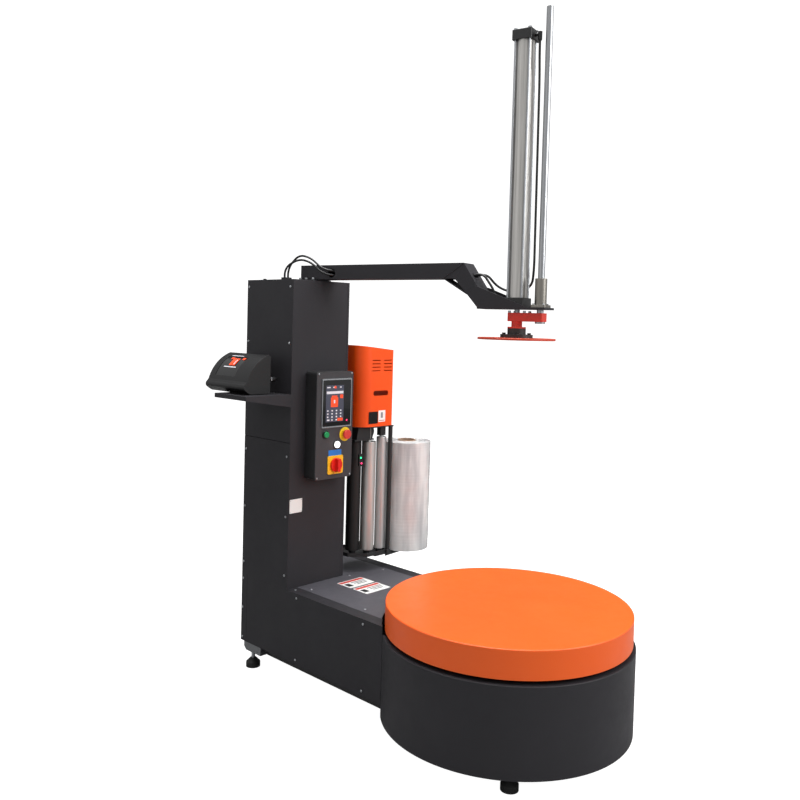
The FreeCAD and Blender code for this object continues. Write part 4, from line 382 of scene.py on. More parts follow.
# ---- surface maker
class Stock:
    """Collects grids of points as faces and turns them into one mesh object."""

    def __init__(self) -> None:
        """Start empty."""
        self.points: list[np.ndarray] = []
        self.quads: list[np.ndarray] = []
        self.caps: list[list[int]] = []
        self.count = 0

    def grid(self, points: np.ndarray, wrap_u: bool = False, wrap_v: bool = False) -> int:
        """Add a surface given as a function of two parameters on a grid.

        Face (i, j) joins grid points (i, j), (i + 1, j), (i + 1, j + 1) and (i, j + 1).

        Args:
            points: array of shape (n, m, 3).
            wrap_u: join the last row to the first.
            wrap_v: join the last column to the first.

        Returns:
            Number of the grid's first point.
        """
        n, m, _ = points.shape
        i, j = np.meshgrid(np.arange(n if wrap_u else n - 1), np.arange(m if wrap_v else m - 1),
                           indexing="ij")
        after_i, after_j = (i + 1) % n, (j + 1) % m
        faces = np.stack([i * m + j, after_i * m + j, after_i * m + after_j, i * m + after_j], -1)
        start = self.count
        self.points.append(points.reshape(-1, 3))
        self.quads.append(faces.reshape(-1, 4) + start)
        self.count += n * m
        return start

    def cap(self, start: int, rows: int, sides: int) -> "Stock":
        """Close the first and the last row of a grid that begins at a given point."""
        for first in (start, start + (rows - 1) * sides):
            self.caps.append(list(range(first, first + sides)))
        return self

    def slab(self, centre: np.ndarray, across: np.ndarray, up: np.ndarray, outline: np.ndarray,
             thick: float, chamfer: float = 0.0) -> "Stock":
        """Add a closed plate: an outline carried along its own normal.

        Point k of layer (d, s) is centre + s * (outline_x * across + outline_y * up) + d * normal, where
        the layers run from 0 to the thickness and the last shrinks by the chamfer.

        Args:
            centre: middle of the back face.
            across: unit vector of the outline's x.
            up: unit vector of the outline's y.
            outline: closed outline, shape (k, 2).
            thick: thickness along across x up.
            chamfer: bevel of the front edge.

        Returns:
            This stock.
        """
        normal = np.cross(across, up)
        reach = np.abs(outline).max()
        layers = [(0.0, 1.0), (thick - chamfer, 1.0), (thick, 1.0 - chamfer / reach)] if chamfer else \
            [(0.0, 1.0), (thick, 1.0)]
        flat = outline[:, :1] * across + outline[:, 1:] * up
        rings = np.stack([centre + s * flat + d * normal for d, s in layers])
        return self.cap(self.grid(rings, wrap_v=True), len(layers), len(outline))

    @staticmethod
    def lathe(centre: np.ndarray, axis: np.ndarray, profile: np.ndarray, steps: int) -> np.ndarray:
        """Carry a (radius, height) profile round an axis.

        Point (i, t) is centre + height_i * axis + radius_i * (cos t * u + sin t * v), with u and v square
        to the axis.

        Args:
            centre: point on the axis at height 0.
            axis: unit vector of the axis.
            profile: shape (k, 2).
            steps: divisions of the turn.

        Returns:
            Points of shape (k, steps, 3).
        """
        side = np.array([1.0, 0, 0]) if abs(axis[0]) < 0.9 else np.array([0, 1.0, 0])
        u = np.cross(axis, side)
        u /= np.linalg.norm(u)
        v = np.cross(axis, u)
        t = np.arange(steps) * 2 * np.pi / steps
        round_ = np.cos(t)[:, None] * u + np.sin(t)[:, None] * v
        return centre + profile[:, 1, None, None] * axis + profile[:, 0, None, None] * round_[None]

    def turned(self, centre: np.ndarray, axis: np.ndarray, profile: np.ndarray,
               steps: int = 32) -> "Stock":
        """Add a turned piece, closed with a flat face at either end of its profile."""
        rings = self.lathe(centre, axis, profile, steps)
        return self.cap(self.grid(rings, wrap_v=True), len(profile), steps)

    def ringed(self, centre: np.ndarray, axis: np.ndarray, profile: np.ndarray,
               steps: int = 40) -> "Stock":
        """Add a turned ring, whose profile is a closed outline."""
        self.grid(self.lathe(centre, axis, profile, steps), wrap_u=True, wrap_v=True)
        return self

    def bead(self, path: np.ndarray, radius: float, sides: int = 8, ripple: float = 0.0) -> "Stock":
        """Add a bead or tube: a circle carried along a path.

        Its radius is radius * (1 + ripple * cos(pi * k)) at point k, which gives a weld its scales.

        Args:
            path: points, shape (n, 3).
            radius: radius of the circle.
            sides: sides of the circle.
            ripple: share by which the radius swells and shrinks.

        Returns:
            This stock.
        """
        way = np.gradient(path, axis=0)
        way /= np.linalg.norm(way, axis=1)[:, None]
        guide = np.array([0.0, 0, 1]) if abs(way[0, 2]) < 0.9 else np.array([1.0, 0, 0])
        u = np.cross(way, guide)
        u /= np.linalg.norm(u, axis=1)[:, None]
        v = np.cross(way, u)
        t = np.arange(sides) * 2 * np.pi / sides
        swell = radius * (1 + ripple * np.cos(np.pi * np.arange(len(path))))
        rings = path[:, None] + swell[:, None, None] * (np.cos(t)[None, :, None] * u[:, None]
                                                       + np.sin(t)[None, :, None] * v[:, None])
        return self.cap(self.grid(rings, wrap_v=True), len(path), sides)

    def piece(self, name: str, body: str, slot: str, finish: Finish,
              crease: float = 30.0) -> bpy.types.Object:
        """Make the object, dress it and let it ride.

        Args:
            name: name of the piece.
            body: body that it moves with.
            slot: name of a material slot; not used.
            finish: finish it is given.
            crease: angle in degrees from which an edge stays sharp.

        Returns:
            The new object, at the origin.
        """
        mesh = bpy.data.meshes.new(name)
        faces = [tuple(q) for q in np.concatenate(self.quads).tolist()] + [tuple(c) for c in self.caps]
        mesh.from_pydata(np.concatenate(self.points).tolist(), [], faces)
        work = bmesh.new()
        work.from_mesh(mesh)
        bmesh.ops.remove_doubles(work, verts=work.verts, dist=1e-6)
        bmesh.ops.recalc_face_normals(work, faces=work.faces)
        work.to_mesh(mesh)
        work.free()
        mesh.polygons.foreach_set("use_smooth", np.ones(len(mesh.polygons), bool))
        mesh.set_sharp_from_angle(angle=math.radians(crease))
        mesh.materials.append(finish.material())
        made = bpy.data.objects.new(name, mesh)
        bpy.context.scene.collection.objects.link(made)
        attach(made, body)
        LOG.info("piece %s: %d faces on %s", name, len(mesh.polygons), body)
        return made


def rounded_outline(width: float, height: float, radius: float, steps: int = 6) -> np.ndarray:
    """Outline of a rectangle with round corners.

    Corner q has its centre at (+-(width / 2 - radius), +-(height / 2 - radius)) and the arc
    centre + radius * (cos t, sin t) over its own quarter turn.

    Args:
        width: size along x.
        height: size along y.
        radius: radius of the corners.
        steps: divisions of each arc.

    Returns:
        Points of shape (4 * (steps + 1), 2).
    """
    sign = np.array([[1, 1], [-1, 1], [-1, -1], [1, -1]])
    centre = sign * (np.array([width, height]) / 2 - radius)
    t = np.linspace(0, np.pi / 2, steps + 1)[None] + np.arange(4)[:, None] * np.pi / 2
    arc = radius * np.stack([np.cos(t), np.sin(t)], -1)
    return (centre[:, None] + arc).reshape(-1, 2)


X, Y, Z = np.eye(3)


@dataclass
class SubAssembly:
    """A part of the machine: its place is told from the turntable's axis on the floor.

    Attributes:
        axis: x and y of the turntable's axis.
    """

    axis: np.ndarray

    def at(self, x: float, y: float, z: float) -> np.ndarray:
        """Point at millimetres from the turntable's axis on the floor."""
        return np.array([self.axis[0] + x * MM, self.axis[1] + y * MM, z * MM])

    def finish_nodes(self, finishes: dict[str, Finish]) -> None:
        """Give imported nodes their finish."""
        for name, finish in finishes.items():
            mesh = NODES[name].data
            mesh.materials.clear()
            mesh.materials.append(finish.material())
            LOG.info("node %s: %s", name, finish.name)

    def front_slab(self, stock: Stock, x0: float, x1: float, z0: float, z1: float, y: float, thick: float,
                   radius: float = 1.0, chamfer: float = 0.0) -> Stock:
        """Add a plate that lies on a face turned to -Y, its size in millimetres from the axis."""
        outline = rounded_outline((x1 - x0) * MM, (z1 - z0) * MM, radius * MM)
        centre = self.at((x0 + x1) / 2, y, (z0 + z1) / 2)
        return stock.slab(centre, X, Z, outline, thick * MM, chamfer * MM)


NODES: dict[str, bpy.types.Object] = {}


# ---- sub-assemblies
@dataclass
class BaseHousing(SubAssembly):
    """Frame, covers and feet under the column and round the turntable drive.

    Attributes:
        deck: height of the top cover.
        label: width and depth of the two printed plates on it.
        label_x: x of their middles.
        label_y: y of their middles.
    """

    deck: float = 408.0
    label: tuple[float, float] = (140.0, 88.0)
    label_x: float = -75.0
    label_y: tuple[float, float] = (755.0, 656.0)

    def build(self) -> None:
        """Dress the base and lay the printed plates on its deck."""
        self.finish_nodes({
            "base_frame": BLACK_COAT, "rear_beam": FRAME_STEEL, "foot_pads": PAD_RUBBER,
            "foot_studs": ZINC, "drum_skirt": ANTHRACITE, "base_side_panels": ANTHRACITE,
            # The deck plate takes the lighter coat, whose lightness is painted light on its top.
            "base_top_plate": ANTHRACITE_LIT_TOP, "rear_covers": ANTHRACITE, "load_cells": ANODISED,
            "weigh_platform": FRAME_STEEL, "slew_ring": ZINC, "visible_fasteners": ZINC})
        plates, bands, lines = Stock(), Stock(), Stock()
        width, depth = self.label
        for y in self.label_y:
            outline = rounded_outline(width * MM, depth * MM, 4 * MM)
            plates.slab(self.at(self.label_x, y, self.deck), X, Y, outline, 0.4 * MM)
            band = rounded_outline((width - 8) * MM, 18 * MM, 2 * MM)
            head = self.at(self.label_x, y + depth / 2 - 14, self.deck + 0.4)
            bands.slab(head, X, Y, band, 0.2 * MM)
            for k in range(3):
                bar = rounded_outline((width - 60 - 12 * k) * MM, 5 * MM, 1 * MM)
                start = self.at(self.label_x + 20, y + 10 - 14 * k, self.deck + 0.4)
                lines.slab(start, X, Y, bar, 0.2 * MM)
            tile = rounded_outline(26 * MM, 34 * MM, 2 * MM)
            lines.slab(self.at(self.label_x - 48, y - 8, self.deck + 0.4), X, Y, tile, 0.2 * MM)
        plates.piece("deck_plates", "base", "white_plastic", PRINT_WHITE)
        bands.piece("deck_plate_bands", "base", "red_plastic", PRINT_RED)
        lines.piece("deck_plate_marks", "base", "black_plastic", BLACK_PLASTIC)


@dataclass
class Turntable(SubAssembly):
    """Orange disc, its hub and the belt drive under it."""

    def build(self) -> None:
        """Dress the turntable and its drive."""
        self.finish_nodes({
            "turntable_disc": TABLE_ORANGE, "table_hub": ANODISED, "table_gearmotor": CAST_IRON,
            "drive_pulley": ANODISED, "drive_belt": ROLLER_RUBBER})


@dataclass
class Column(SubAssembly):
    """Closed column with the lift inside it.

    Attributes:
        front: y of the front panel.
        plate: outline of the blank rating plate.
    """

    front: float = 870.0
    plate: Box = (-356.0, -290.0, 727.0, 785.0)

    def build(self) -> None:
        """Dress the column and fix the rating plate."""
        self.finish_nodes({
            "column_side_covers": ANTHRACITE, "column_front_panel": ANTHRACITE,
            "column_right_panel": ANTHRACITE, "column_top_plate": ANTHRACITE,
            "mast_rails": FRAME_STEEL, "lift_pulley_bottom": ANODISED,
            "lift_pulley_top": ANODISED, "lift_belt": ROLLER_RUBBER, "lift_gearmotor": CAST_IRON,
            "control_gear": GREY_PLASTIC, "trolley": FRAME_STEEL, "slide_shoes": SHOE_PLASTIC})
        plate = Stock()
        self.front_slab(plate, *self.plate, self.front, 0.8, radius=3, chamfer=0.3)
        plate.piece("rating_plate", "base", "white_plastic", PRINT_WHITE)
        rivets = Stock()
        x0, x1, z0, z1 = self.plate
        dome = np.array([[2.2, 0.0], [2.0, 0.6], [1.2, 1.1], [0.2, 1.3]]) * MM
        for x in (x0 + 5, x1 - 5):
            for z in (z0 + 5, z1 - 5):
                rivets.turned(self.at(x, self.front - 0.8, z), -Y, dome, 12)
        rivets.piece("rating_plate_rivets", "base", "bare_steel", ZINC)


@dataclass
class ControlPanel(SubAssembly):
    """Panel on the column's front: touch screen, buttons and main switch.

    Attributes:
        face: y of the door's face.
        glass: outline of the screen's glass.
        page: outline of the lit page.
        blue: outline of the blue plate.
        switch: outline of the switch plate's yellow face.
    """

    face: float = 798.0
    glass: Box = (-252.5, -95.5, 1090.5, 1285.5)
    page: Box = (-236.0, -137.0, 1109.0, 1263.0)
    blue: Box = (-212.0, -140.0, 963.0, 988.0)
    switch: Box = (-216.5, -131.5, 886.5, 963.5)

    def build(self) -> None:
        """Dress the panel, then add glass, page, marks, bezels and the two plates."""
        self.finish_nodes({
            "panel_box": BLACK_COAT, "panel_door": DOOR_COAT, "touch_screen": ZINC,
            "estop_button": MUSHROOM, "start_button": GREEN_CAP, "lamp_button": WHITE_CAP,
            "main_switch": KNOB_RED, "switch_plates": YELLOW})
        self.screen()
        self.bezels()
        blue = Stock()
        self.front_slab(blue, *self.blue, self.face, 0.8, radius=2, chamfer=0.3)
        blue.piece("panel_blue_plate", "base", "white_plastic", PRINT_BLUE)
        yellow = Stock()
        self.front_slab(yellow, *self.switch, self.face - 3, 0.5, radius=7)
        yellow.piece("switch_plate_face", "base", "yellow_plastic", SWITCH_YELLOW)

    def screen(self) -> None:
        """Glass pane, lamp, lit page and its marks: a header, a carton, a grid of symbols and a key."""
        pane = Stock()
        self.front_slab(pane, *self.glass, self.face - 3.0, 1.4, radius=5, chamfer=0.4)
        pane.piece("screen_glass", "base", "screen_glass", SCREEN)
        y = self.face - 4.4
        x0, x1, z0, z1 = self.page
        page = Stock()
        self.front_slab(page, x0, x1, z0, z1, y, 0.2, radius=1)
        page.piece("screen_page", "base", "screen_glass", LIT_PAGE)
        white, orange = Stock(), Stock()
        y -= 0.2
        for x, w in ((x0 + 4, 20), (x0 + 38, 10), (x0 + 76, 9)):
            self.front_slab(white, x, x + w, z1 - 11, z1 - 6, y, 0.2)
        self.front_slab(white, x0 + 3, x1 - 3, z1 - 36, z1 - 25, y, 0.2)
        self.front_slab(orange, x0 + 44, x0 + 56, z1 - 13, z1 - 3, y - 0.2, 0.2, radius=3)
        self.front_slab(orange, x0 + 27, x0 + 67, z1 - 92, z1 - 50, y, 0.2, radius=3)
        self.front_slab(orange, x0 + 31, x0 + 63, z1 - 49, z1 - 43, y, 0.2, radius=2)
        self.front_slab(orange, x1 - 21, x1 - 4, z1 - 56, z1 - 40, y, 0.2, radius=2)
        self.front_slab(white, x0 + 43, x0 + 51, z1 - 76, z1 - 62, y - 0.2, 0.2, radius=1)
        for row in range(4):
            for column in range(4):
                x, z = x0 + 7 + 24 * column, z0 + 44 - 13 * row
                width = 14 if column == 0 and row == 3 else 8
                self.front_slab(white, x, x + width, z, z + 6, y, 0.2, radius=1.5)
        self.front_slab(orange, x1 - 34, x1 - 4, z0 + 3, z0 + 15, y - 0.2, 0.2, radius=2)
        white.piece("screen_marks_white", "base", "white_plastic", LIT_WHITE)
        orange.piece("screen_marks_orange", "base", "red_plastic", LIT_ORANGE)
        lamp = Stock()
        dome = np.array([[3.2, 0.0], [3.0, 0.8], [2.0, 1.4], [0.2, 1.7]]) * MM
        lamp.turned(self.at(-118, y, 1112), -Y, dome, 20)
        lamp.piece("screen_lamp", "base", "red_plastic", LIT_PINK)

    def bezels(self) -> None:
        """Turned rings round the two small buttons."""
        ring = Stock()
        metal = np.array([[14.8, 0.0], [18.0, 0.0], [18.0, 2.2], [17.0, 3.2], [15.2, 3.2],
                          [14.8, 2.6]]) * MM
        for node in ("start_button", "lamp_button"):
            low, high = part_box(node)
            centre = np.array([(low.x + high.x) / 2, self.axis[1] + self.face * MM, (low.z + high.z) / 2])
            ring.ringed(centre, -Y, metal)
        ring.piece("button_bezels", "base", "black_plastic", BLACK_PLASTIC)


@dataclass
class WeighTerminal(SubAssembly):
    """Weighing display on its shelf: a moulded case with a bowed face.

    Attributes:
        bow: three points of the face's arc, as x and z.
        pane: near and far y of the dark pane.
        wall: x of the case's wall that carries the sockets.
        sockets: y and z of each socket.
    """

    bow: tuple[tuple[float, float], ...] = ((-547.0, 1278.0), (-513.0, 1338.0), (-440.0, 1387.0))
    pane: tuple[float, float] = (1015.0, 1155.0)
    wall: float = -416.0
    sockets: tuple[tuple[float, float], ...] = ((944.0, 1285.0), (980.0, 1285.0))

    def arc(self) -> tuple[np.ndarray, float]:
        """Centre and radius of the circle through the three points of the bow.

        The centre c solves 2 (p_k - p_0) . c = |p_k|^2 - |p_0|^2 for k = 1 and 2.
        """
        p = np.array(self.bow)
        centre = np.linalg.solve(2 * (p[1:] - p[0]), (p[1:] ** 2).sum(1) - (p[0] ** 2).sum())
        return centre, float(np.linalg.norm(p[0] - centre))

    def bowed(self, stock: Stock, y0: float, y1: float, s0: float, s1: float, lift: float,
              thick: float) -> None:
        """Add a thin closed patch on the bowed face.

        Point (s, y) lies at centre + (radius + lift) * (cos a, sin a), where the angle a runs from the
        bow's foot at s = 0 to its head at s = 1.
        """
        centre, radius = self.arc()
        ends = [math.atan2(self.bow[k][1] - centre[1], self.bow[k][0] - centre[0]) for k in (0, 2)]
        steps = 9
        a = ends[0] + (ends[1] - ends[0]) * np.linspace(s0, s1, steps)
        rows = []
        for y, high in ((y0, 0), (y0, 1), (y1, 1), (y1, 0)):
            r = radius + lift + thick * high
            row = (centre[0] + r * np.cos(a), np.full_like(a, y), centre[1] + r * np.sin(a))
            rows.append(np.stack(row, -1))
        start = stock.grid(np.stack(rows) * MM + self.at(0, 0, 0), wrap_u=True)
        for end in (0, steps - 1):
            stock.caps.append([start + k * steps + end for k in range(4)])

    def build(self) -> None:
        """Dress the case and add the lit marks, the sockets' nuts and the plugs."""
        self.finish_nodes({"terminal_housing": BLACK_PLASTIC, "terminal_screen": SCREEN,
                           "terminal_shelf": ANTHRACITE})
        y0, y1 = self.pane
        orange, white = Stock(), Stock()
        self.bowed(white, y0 + 40, y1 - 18, 0.80, 0.83, 0.1, 0.3)
        self.bowed(orange, y0 + 8, y0 + 26, 0.66, 0.74, 0.1, 0.3)
        self.bowed(orange, y0 + 42, y0 + 62, 0.44, 0.70, 0.1, 0.3)
        self.bowed(orange, y0 + 64, y0 + 84, 0.44, 0.70, 0.1, 0.3)
        self.bowed(orange, y0 + 88, y0 + 106, 0.66, 0.74, 0.1, 0.3)
        self.bowed(white, y0 + 50, y0 + 56, 0.48, 0.64, 0.4, 0.2)
        self.bowed(white, y0 + 24, y0 + 110, 0.37, 0.40, 0.1, 0.3)
        orange.piece("terminal_marks_orange", "base", "red_plastic", LIT_ORANGE)
        white.piece("terminal_marks_white", "base", "white_plastic", LIT_WHITE)
        nuts, plugs = Stock(), Stock()
        nut = np.array([[10.5, 0.0], [11.5, 0.6], [11.5, 5.4], [10.5, 6.0]]) * MM
        plug = np.array([[9.0, 0.0], [10.2, 1.0], [10.2, 16.0], [8.8, 18.0], [6.2, 19.0], [5.4, 30.0],
                         [3.4, 34.0], [0.2, 34.5]]) * MM
        for y, z in self.sockets:
            nuts.turned(self.at(self.wall, y, z), X, nut, 6)
            plugs.turned(self.at(self.wall + 6, y, z), X, plug, 24)
        nuts.piece("terminal_socket_nuts", "base", "bare_steel", ZINC, crease=20)
        plugs.piece("terminal_plugs", "base", "black_plastic", BLACK_PLASTIC)


@dataclass
class PressArm(SubAssembly):
    """Arm on the column, cylinder, guide and press plate.

    Attributes:
        turn: angle of the arm about the turntable's axis, in degrees.
        plate_top: height at which the press plate's red paint ends.
        bar_red: height at which the coupling bar's red paint begins.
        bar_top: height of the coupling bar's bolts.
        head: height of the nuts on the tie rods.
        pitch: distance of the tie rods from the cylinder's axis, across and along the arm.
        port: place of the lower air port, across, along and up.
    """

    turn: float = 11.284
    plate_top: float = 1489.2
    bar_red: float = 1524.5
    bar_top: float = 1582.0
    head: float = 2611.0
    pitch: float = 27.6
    port: tuple[float, float, float] = (-14.0, 41.0, 1619.5)

    def arm(self, across: float, along: float, z: float) -> np.ndarray:
        """Point at millimetres across and along the arm, counted from the turntable's axis."""
        c, s = math.cos(math.radians(self.turn)), math.sin(math.radians(self.turn))
        return self.at(across * c - along * s, across * s + along * c, z)

    def along(self) -> np.ndarray:
        """Unit vector along the arm."""
        return np.array([-math.sin(math.radians(self.turn)), math.cos(math.radians(self.turn)), 0.0])

    def build(self) -> None:
        """Dress the arm and the press, then add welds and fittings."""
        flange = TwoTone("press_plate_paint", "#c23a1c", "#cc4626", 0.4, second="#17130f",
                         height=self.plate_top * MM, coat=0.2)
        bar = TwoTone("coupling_bar_paint", "#1a1512", "#211b17", 0.42, second="#d92f14",
                      height=self.bar_red * MM, coat=0.2)
        self.finish_nodes({
            "arm_beam": ANTHRACITE, "arm_leg": ANTHRACITE, "cylinder_barrel": BARREL, "tie_rods": ZINC,
            "cylinder_caps": BLACK_ANODISED, "guide_bushing": BUSH_STEEL, "piston_rod": CHROME,
            "guide_rod": CHROME, "coupling_bar": bar, "press_plate": flange, "air_hoses": HOSE})
        self.welds()
        self.fittings()

    def welds(self) -> None:
        """A bead on either side of the arm's knee."""
        beads = Stock()
        half = 40.0
        for x in (-half, half):
            path = np.linspace(self.arm(x, 303, 1706), self.arm(x, 210.5, 1766), 60)
            beads.bead(path, 1.6 * MM, ripple=0.14)
        beads.piece("arm_welds", "base", "anthracite_paint", ANTHRACITE)

    def fittings(self) -> None:
        """Nuts on the tie rods, a collar at the lower port and bolts through the coupling bar."""
        nuts = Stock()
        nut = np.array([[5.6, 0.0], [6.4, 0.5], [6.4, 5.0], [5.6, 5.6]]) * MM
        for x in (-self.pitch, self.pitch):
            for s in (-self.pitch, self.pitch):
                nuts.turned(self.arm(x, s, self.head), Z, nut, 6)
        nuts.piece("tie_rod_nuts", "base", "bare_steel", ZINC, crease=20)
        collars = Stock()
        collar = np.array([[6.2, 0.0], [7.2, 0.8], [7.2, 7.0], [6.2, 8.0], [6.2, 11.0], [5.4, 12.0]]) * MM
        collars.turned(self.arm(*self.port), self.along(), collar, 24)
        collars.piece("port_fittings", "base", "bare_steel", ZINC)
        bolts = Stock()
        head = np.array([[6.5, 0.0], [6.5, 6.5], [5.6, 7.4], [0.2, 7.4]]) * MM
        for x, s in ((-24, 20), (24, 20), (-24, -40), (24, -40)):
            bolts.turned(self.arm(x, s, self.bar_top), Z, head, 6)
        bolts.piece("coupling_bolts", "press_ram", "bare_steel", ZINC, crease=20)


@dataclass
class FilmCarriage(SubAssembly):
    """Carriage with its cover, rollers and sensors.

    Attributes:
        face: y of the cover's front.
        window: outline of the window in the cover.
        plate: outline of the printed plate beside it.
        sensor: outline of the sensor block.
    """

    face: float = 828.0
    window: Box = (47.0, 103.0, 1079.0, 1133.0)
    plate: Box = (106.0, 149.0, 1085.0, 1137.0)
    sensor: Box = (6.0, 30.0, 892.0, 946.0)

    def build(self) -> None:
        """Dress the carriage and add the window, the plate, the lamps and the sensor block."""
        self.finish_nodes({
            "carriage_cover": ORANGE, "carriage_frame": BLACK_COAT, "roller_drive": CAST_IRON,
            "rubber_roller": ROLLER_RUBBER, "steel_roller": STAINLESS, "idler_roller": IDLER_TUBE,
            "roll_holder": BLACK_COAT})
        window, plate, band, mark = Stock(), Stock(), Stock(), Stock()
        x0, x1, z0, z1 = self.plate
        self.front_slab(window, *self.window, self.face, 0.6, radius=1)
        window.piece("cover_window", "carriage", "black_plastic", WINDOW)
        self.front_slab(plate, *self.plate, self.face, 0.5, radius=3)
        plate.piece("cover_plate", "carriage", "white_plastic", PRINT_WHITE)
        self.front_slab(band, x0 + 4, x1 - 4, z0 + 5, z0 + 8, self.face - 0.5, 0.2, radius=1)
        band.piece("cover_plate_band", "carriage", "red_plastic", PRINT_RED)
        self.front_slab(mark, x0 + 15, x1 - 15, z0 + 18, z1 - 9, self.face - 0.5, 0.2, radius=2)
        mark.piece("cover_plate_mark", "carriage", "grey_plastic", GREY_PLASTIC)
        for name, x, z, finish, slot in (("sensor_lamp_green", 16, 930, LIT_GREEN, "green_plastic"),
                                         ("sensor_lamp_red", 20, 905, LIT_PINK, "red_plastic")):
            lamp = Stock()
            dome = np.array([[4.0, 0.0], [3.8, 1.4], [2.6, 2.6], [0.2, 3.0]]) * MM
            lamp.turned(self.at(x, self.face + 12, z), -Y, dome, 20)
            lamp.piece(name, "carriage", slot, finish)
        sensor = Stock()
        self.front_slab(sensor, *self.sensor, self.face + 20, 8, radius=3, chamfer=1)
        sensor.piece("sensor_block", "carriage", "black_plastic", BLACK_PLASTIC)


@dataclass
class FilmRoll(SubAssembly):
    """Roll of stretch film on its board core.

    Attributes:
        centre: x and y of the roll's axis.
        radius: outer radius.
        core: radius of the core's outside.
        ends: heights of the lower and upper end.
    """

    centre: tuple[float, float] = (330.0, 860.0)
    radius: float = 113.0
    core: float = 42.0
    ends: tuple[float, float] = (478.0, 983.0)

    def build(self) -> None:
        """Wind the film as one closed surface.

        At z millimetres up, the outside is radius - 1.2 + 0.5 sin(3 a + 0.04 z) + 0.35 sin(7 a - 0.09 z)
        + 0.25 sin(0.4 z) millimetres: it ripples as film does under uneven tension and stays inside the
        packed ring. The upper and lower ends step by up to 1.6 millimetres from turn to turn.
        """
        self.finish_nodes({"film_core": CORE})
        a = np.linspace(0, 2 * np.pi, 160, endpoint=False)
        z0, z1 = self.ends
        z = np.linspace(z0 + 2.0, z1 - 2.0, 90)
        side_r = (self.radius - 1.2 + 0.5 * np.sin(3 * a[None] + 0.04 * z[:, None])
                  + 0.35 * np.sin(7 * a[None] - 0.09 * z[:, None]) + 0.25 * np.sin(0.4 * z[:, None]))
        side = np.stack([side_r * np.cos(a), side_r * np.sin(a),
                         np.broadcast_to(z[:, None], side_r.shape)], -1)
        turns = np.linspace(0, 1, 26)[1:, None]
        outer = side_r[-1][None] * (1 - turns) + (self.core + 0.6) * turns
        step = 1.6 * (0.5 + 0.5 * np.sin(21.0 * turns + 0.6 * np.sin(2 * a[None])))
        top = np.stack([outer * np.cos(a), outer * np.sin(a), z1 - step], -1)
        outer0 = side_r[0][None] * (1 - turns[::-1]) + (self.core + 0.6) * turns[::-1]
        low = np.stack([outer0 * np.cos(a), outer0 * np.sin(a), z0 + step[::-1]], -1)
        rows = np.concatenate([low, side, top])
        rows = rows * MM + self.at(*self.centre, 0.0)
        film = Stock()
        film.grid(rows, wrap_u=True, wrap_v=True)
        roll = film.piece("wound_film", "film", "film", FILM, crease=60)
        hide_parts("film_roll")


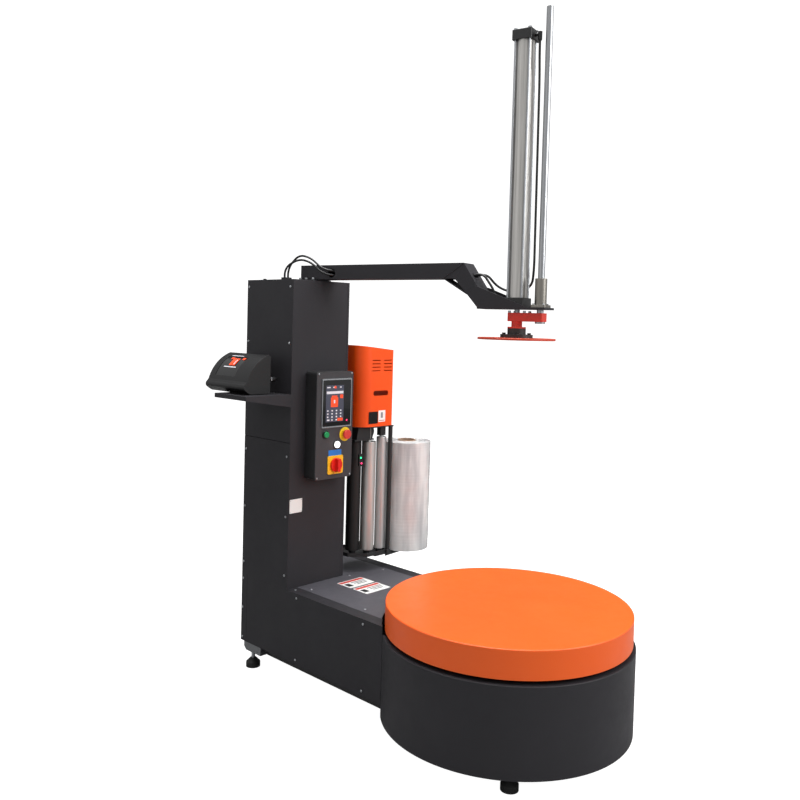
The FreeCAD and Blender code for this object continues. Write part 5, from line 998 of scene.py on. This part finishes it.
@dataclass
class Studio:
    """White surroundings, soft lamps and the camera.

    Attributes:
        axis: x and y of the turntable's axis.
        stand: camera's place from that axis, in metres.
        heading: direction of the view in degrees: azimuth, elevation and roll.
        lens: focal length in millimetres.
        shift: shift of the frame across and up.
        sky_power: strength of the sky as a light and as the camera sees it.
        lamps: name, place, aim, size in metres and power in watts of each lamp.
    """

    axis: np.ndarray
    stand: tuple[float, float, float] = (-2.5434, -1.8712, 1.5302)
    heading: tuple[float, float, float] = (-46.13, 2.17, 1.56)
    lens: float = 37.93
    shift: tuple[float, float] = (-0.0055, -0.0554)
    sky_power: tuple[float, float] = (0.55, 1.0)
    lamps: tuple = field(default=(
        ("key_lamp", (1.4, -4.2, 3.4), (0.0, 0.3, 0.9), 3.0, 150.0),
        ("side_lamp", (-4.6, 0.4, 2.6), (-0.2, 0.4, 1.0), 2.4, 7.0),
        ("top_lamp", (0.2, 0.2, 4.6), (0.0, 0.2, 0.0), 3.2, 250.0)))

    def camera(self) -> None:
        """Place the camera: its back is (sin a cos e, -cos a cos e, sin e) and its frame is rolled."""
        a, e, r = (math.radians(v) for v in self.heading)
        back = Vector((math.sin(a) * math.cos(e), -math.cos(a) * math.cos(e), math.sin(e)))
        right = (-back).cross(Vector((0, 0, 1))).normalized()
        up = right.cross(-back)
        side = math.cos(r) * right + math.sin(r) * up
        head = -math.sin(r) * right + math.cos(r) * up
        data = bpy.data.cameras.new("camera")
        data.lens, data.sensor_width = self.lens, 36.0
        data.shift_x, data.shift_y = self.shift
        data.clip_end = 60.0
        made = bpy.data.objects.new("camera", data)
        place = Vector((self.axis[0], self.axis[1], 0)) + Vector(self.stand)
        turn = Matrix((side, head, back)).transposed().to_4x4()
        made.matrix_world = Matrix.Translation(place) @ turn
        bpy.context.scene.collection.objects.link(made)
        bpy.context.scene.camera = made

    def light(self) -> None:
        """Hang the soft lamps and set an even white sky, with colours shown as they are."""
        bpy.context.scene.view_settings.view_transform = "Standard"
        for name, place, aim, size, power in self.lamps:
            data = bpy.data.lights.new(name, "AREA")
            data.size, data.energy = size, power
            lamp = bpy.data.objects.new(name, data)
            lamp.location = place
            lamp.rotation_euler = (Vector(aim) - Vector(place)).to_track_quat("-Z", "Y").to_euler()
            bpy.context.scene.collection.objects.link(lamp)
        world = bpy.data.worlds.new("pale_room")
        world.use_nodes = True
        sky = world.node_tree.nodes["Background"]
        sky.inputs["Color"].default_value = linear(WHITE)
        seen = add_node(world.node_tree, "ShaderNodeLightPath").outputs["Is Camera Ray"]
        power = add_node(world.node_tree, "ShaderNodeMapRange",
                         {"Value": seen, "To Min": self.sky_power[0], "To Max": self.sky_power[1]})
        world.node_tree.links.new(power.outputs["Result"], sky.inputs["Strength"])
        bpy.context.scene.world = world

    def floor(self) -> None:
        """Lay a floor that rises far behind the machine: white to the camera, grey to all other light.

        The sheet is flat as far as 7 metres, then rises as bend * (1 - cos t) over a quarter turn, then
        stands upright.
        """
        t = np.linspace(0, np.pi / 2, 24)
        flat, bend = 7.0, 2.4
        run = np.concatenate([[-9.0, flat], flat + bend * np.sin(t[1:]), [flat + bend]])
        rise = np.concatenate([[0.0, 0.0], bend * (1 - np.cos(t[1:])), [9.0]])
        s = np.linspace(-11, 11, 3)
        way = np.array([0.72, 0.69, 0])
        side = np.array([0.69, -0.72, 0])
        points = run[:, None, None] * way + s[None, :, None] * side + rise[:, None, None] * Z
        mesh = bpy.data.meshes.new("studio_floor")
        n, m, _ = points.shape
        i, j = np.meshgrid(np.arange(n - 1), np.arange(m - 1), indexing="ij")
        faces = np.stack([i * m + j, i * m + j + 1, (i + 1) * m + j + 1, (i + 1) * m + j], -1)
        mesh.from_pydata(points.reshape(-1, 3).tolist(), [], faces.reshape(-1, 4).tolist())
        mesh.polygons.foreach_set("use_smooth", np.ones(len(mesh.polygons), bool))
        paper = Finish("studio_paper", "#8c8c8c", "#949494", 0.9).material()
        tree = paper.node_tree
        shader = next(n for n in tree.nodes if n.bl_idname == "ShaderNodeBsdfPrincipled")
        shader.inputs["Emission Color"].default_value = linear(WHITE)
        seen = add_node(tree, "ShaderNodeLightPath").outputs["Is Camera Ray"]
        tree.links.new(seen, shader.inputs["Emission Strength"])
        mesh.materials.append(paper)
        sheet = bpy.data.objects.new("studio_floor", mesh)
        bpy.context.scene.collection.objects.link(sheet)

    def build(self) -> None:
        """Set up camera, light and floor."""
        self.camera()
        self.light()
        self.floor()


def main() -> None:
    """Build everything in order."""
    logging.basicConfig(level=logging.INFO, format="%(message)s")
    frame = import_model()
    NODES.update(frame["nodes"])
    low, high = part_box("turntable_disc")
    axis = np.array([(low.x + high.x) / 2, (low.y + high.y) / 2])
    Studio(axis).build()
    for part in (BaseHousing, Turntable, Column, ControlPanel, WeighTerminal, PressArm, FilmCarriage,
                 FilmRoll):
        part(axis).build()
        LOG.info("%s done", part.__name__)


if __name__ == "__main__":
    main()
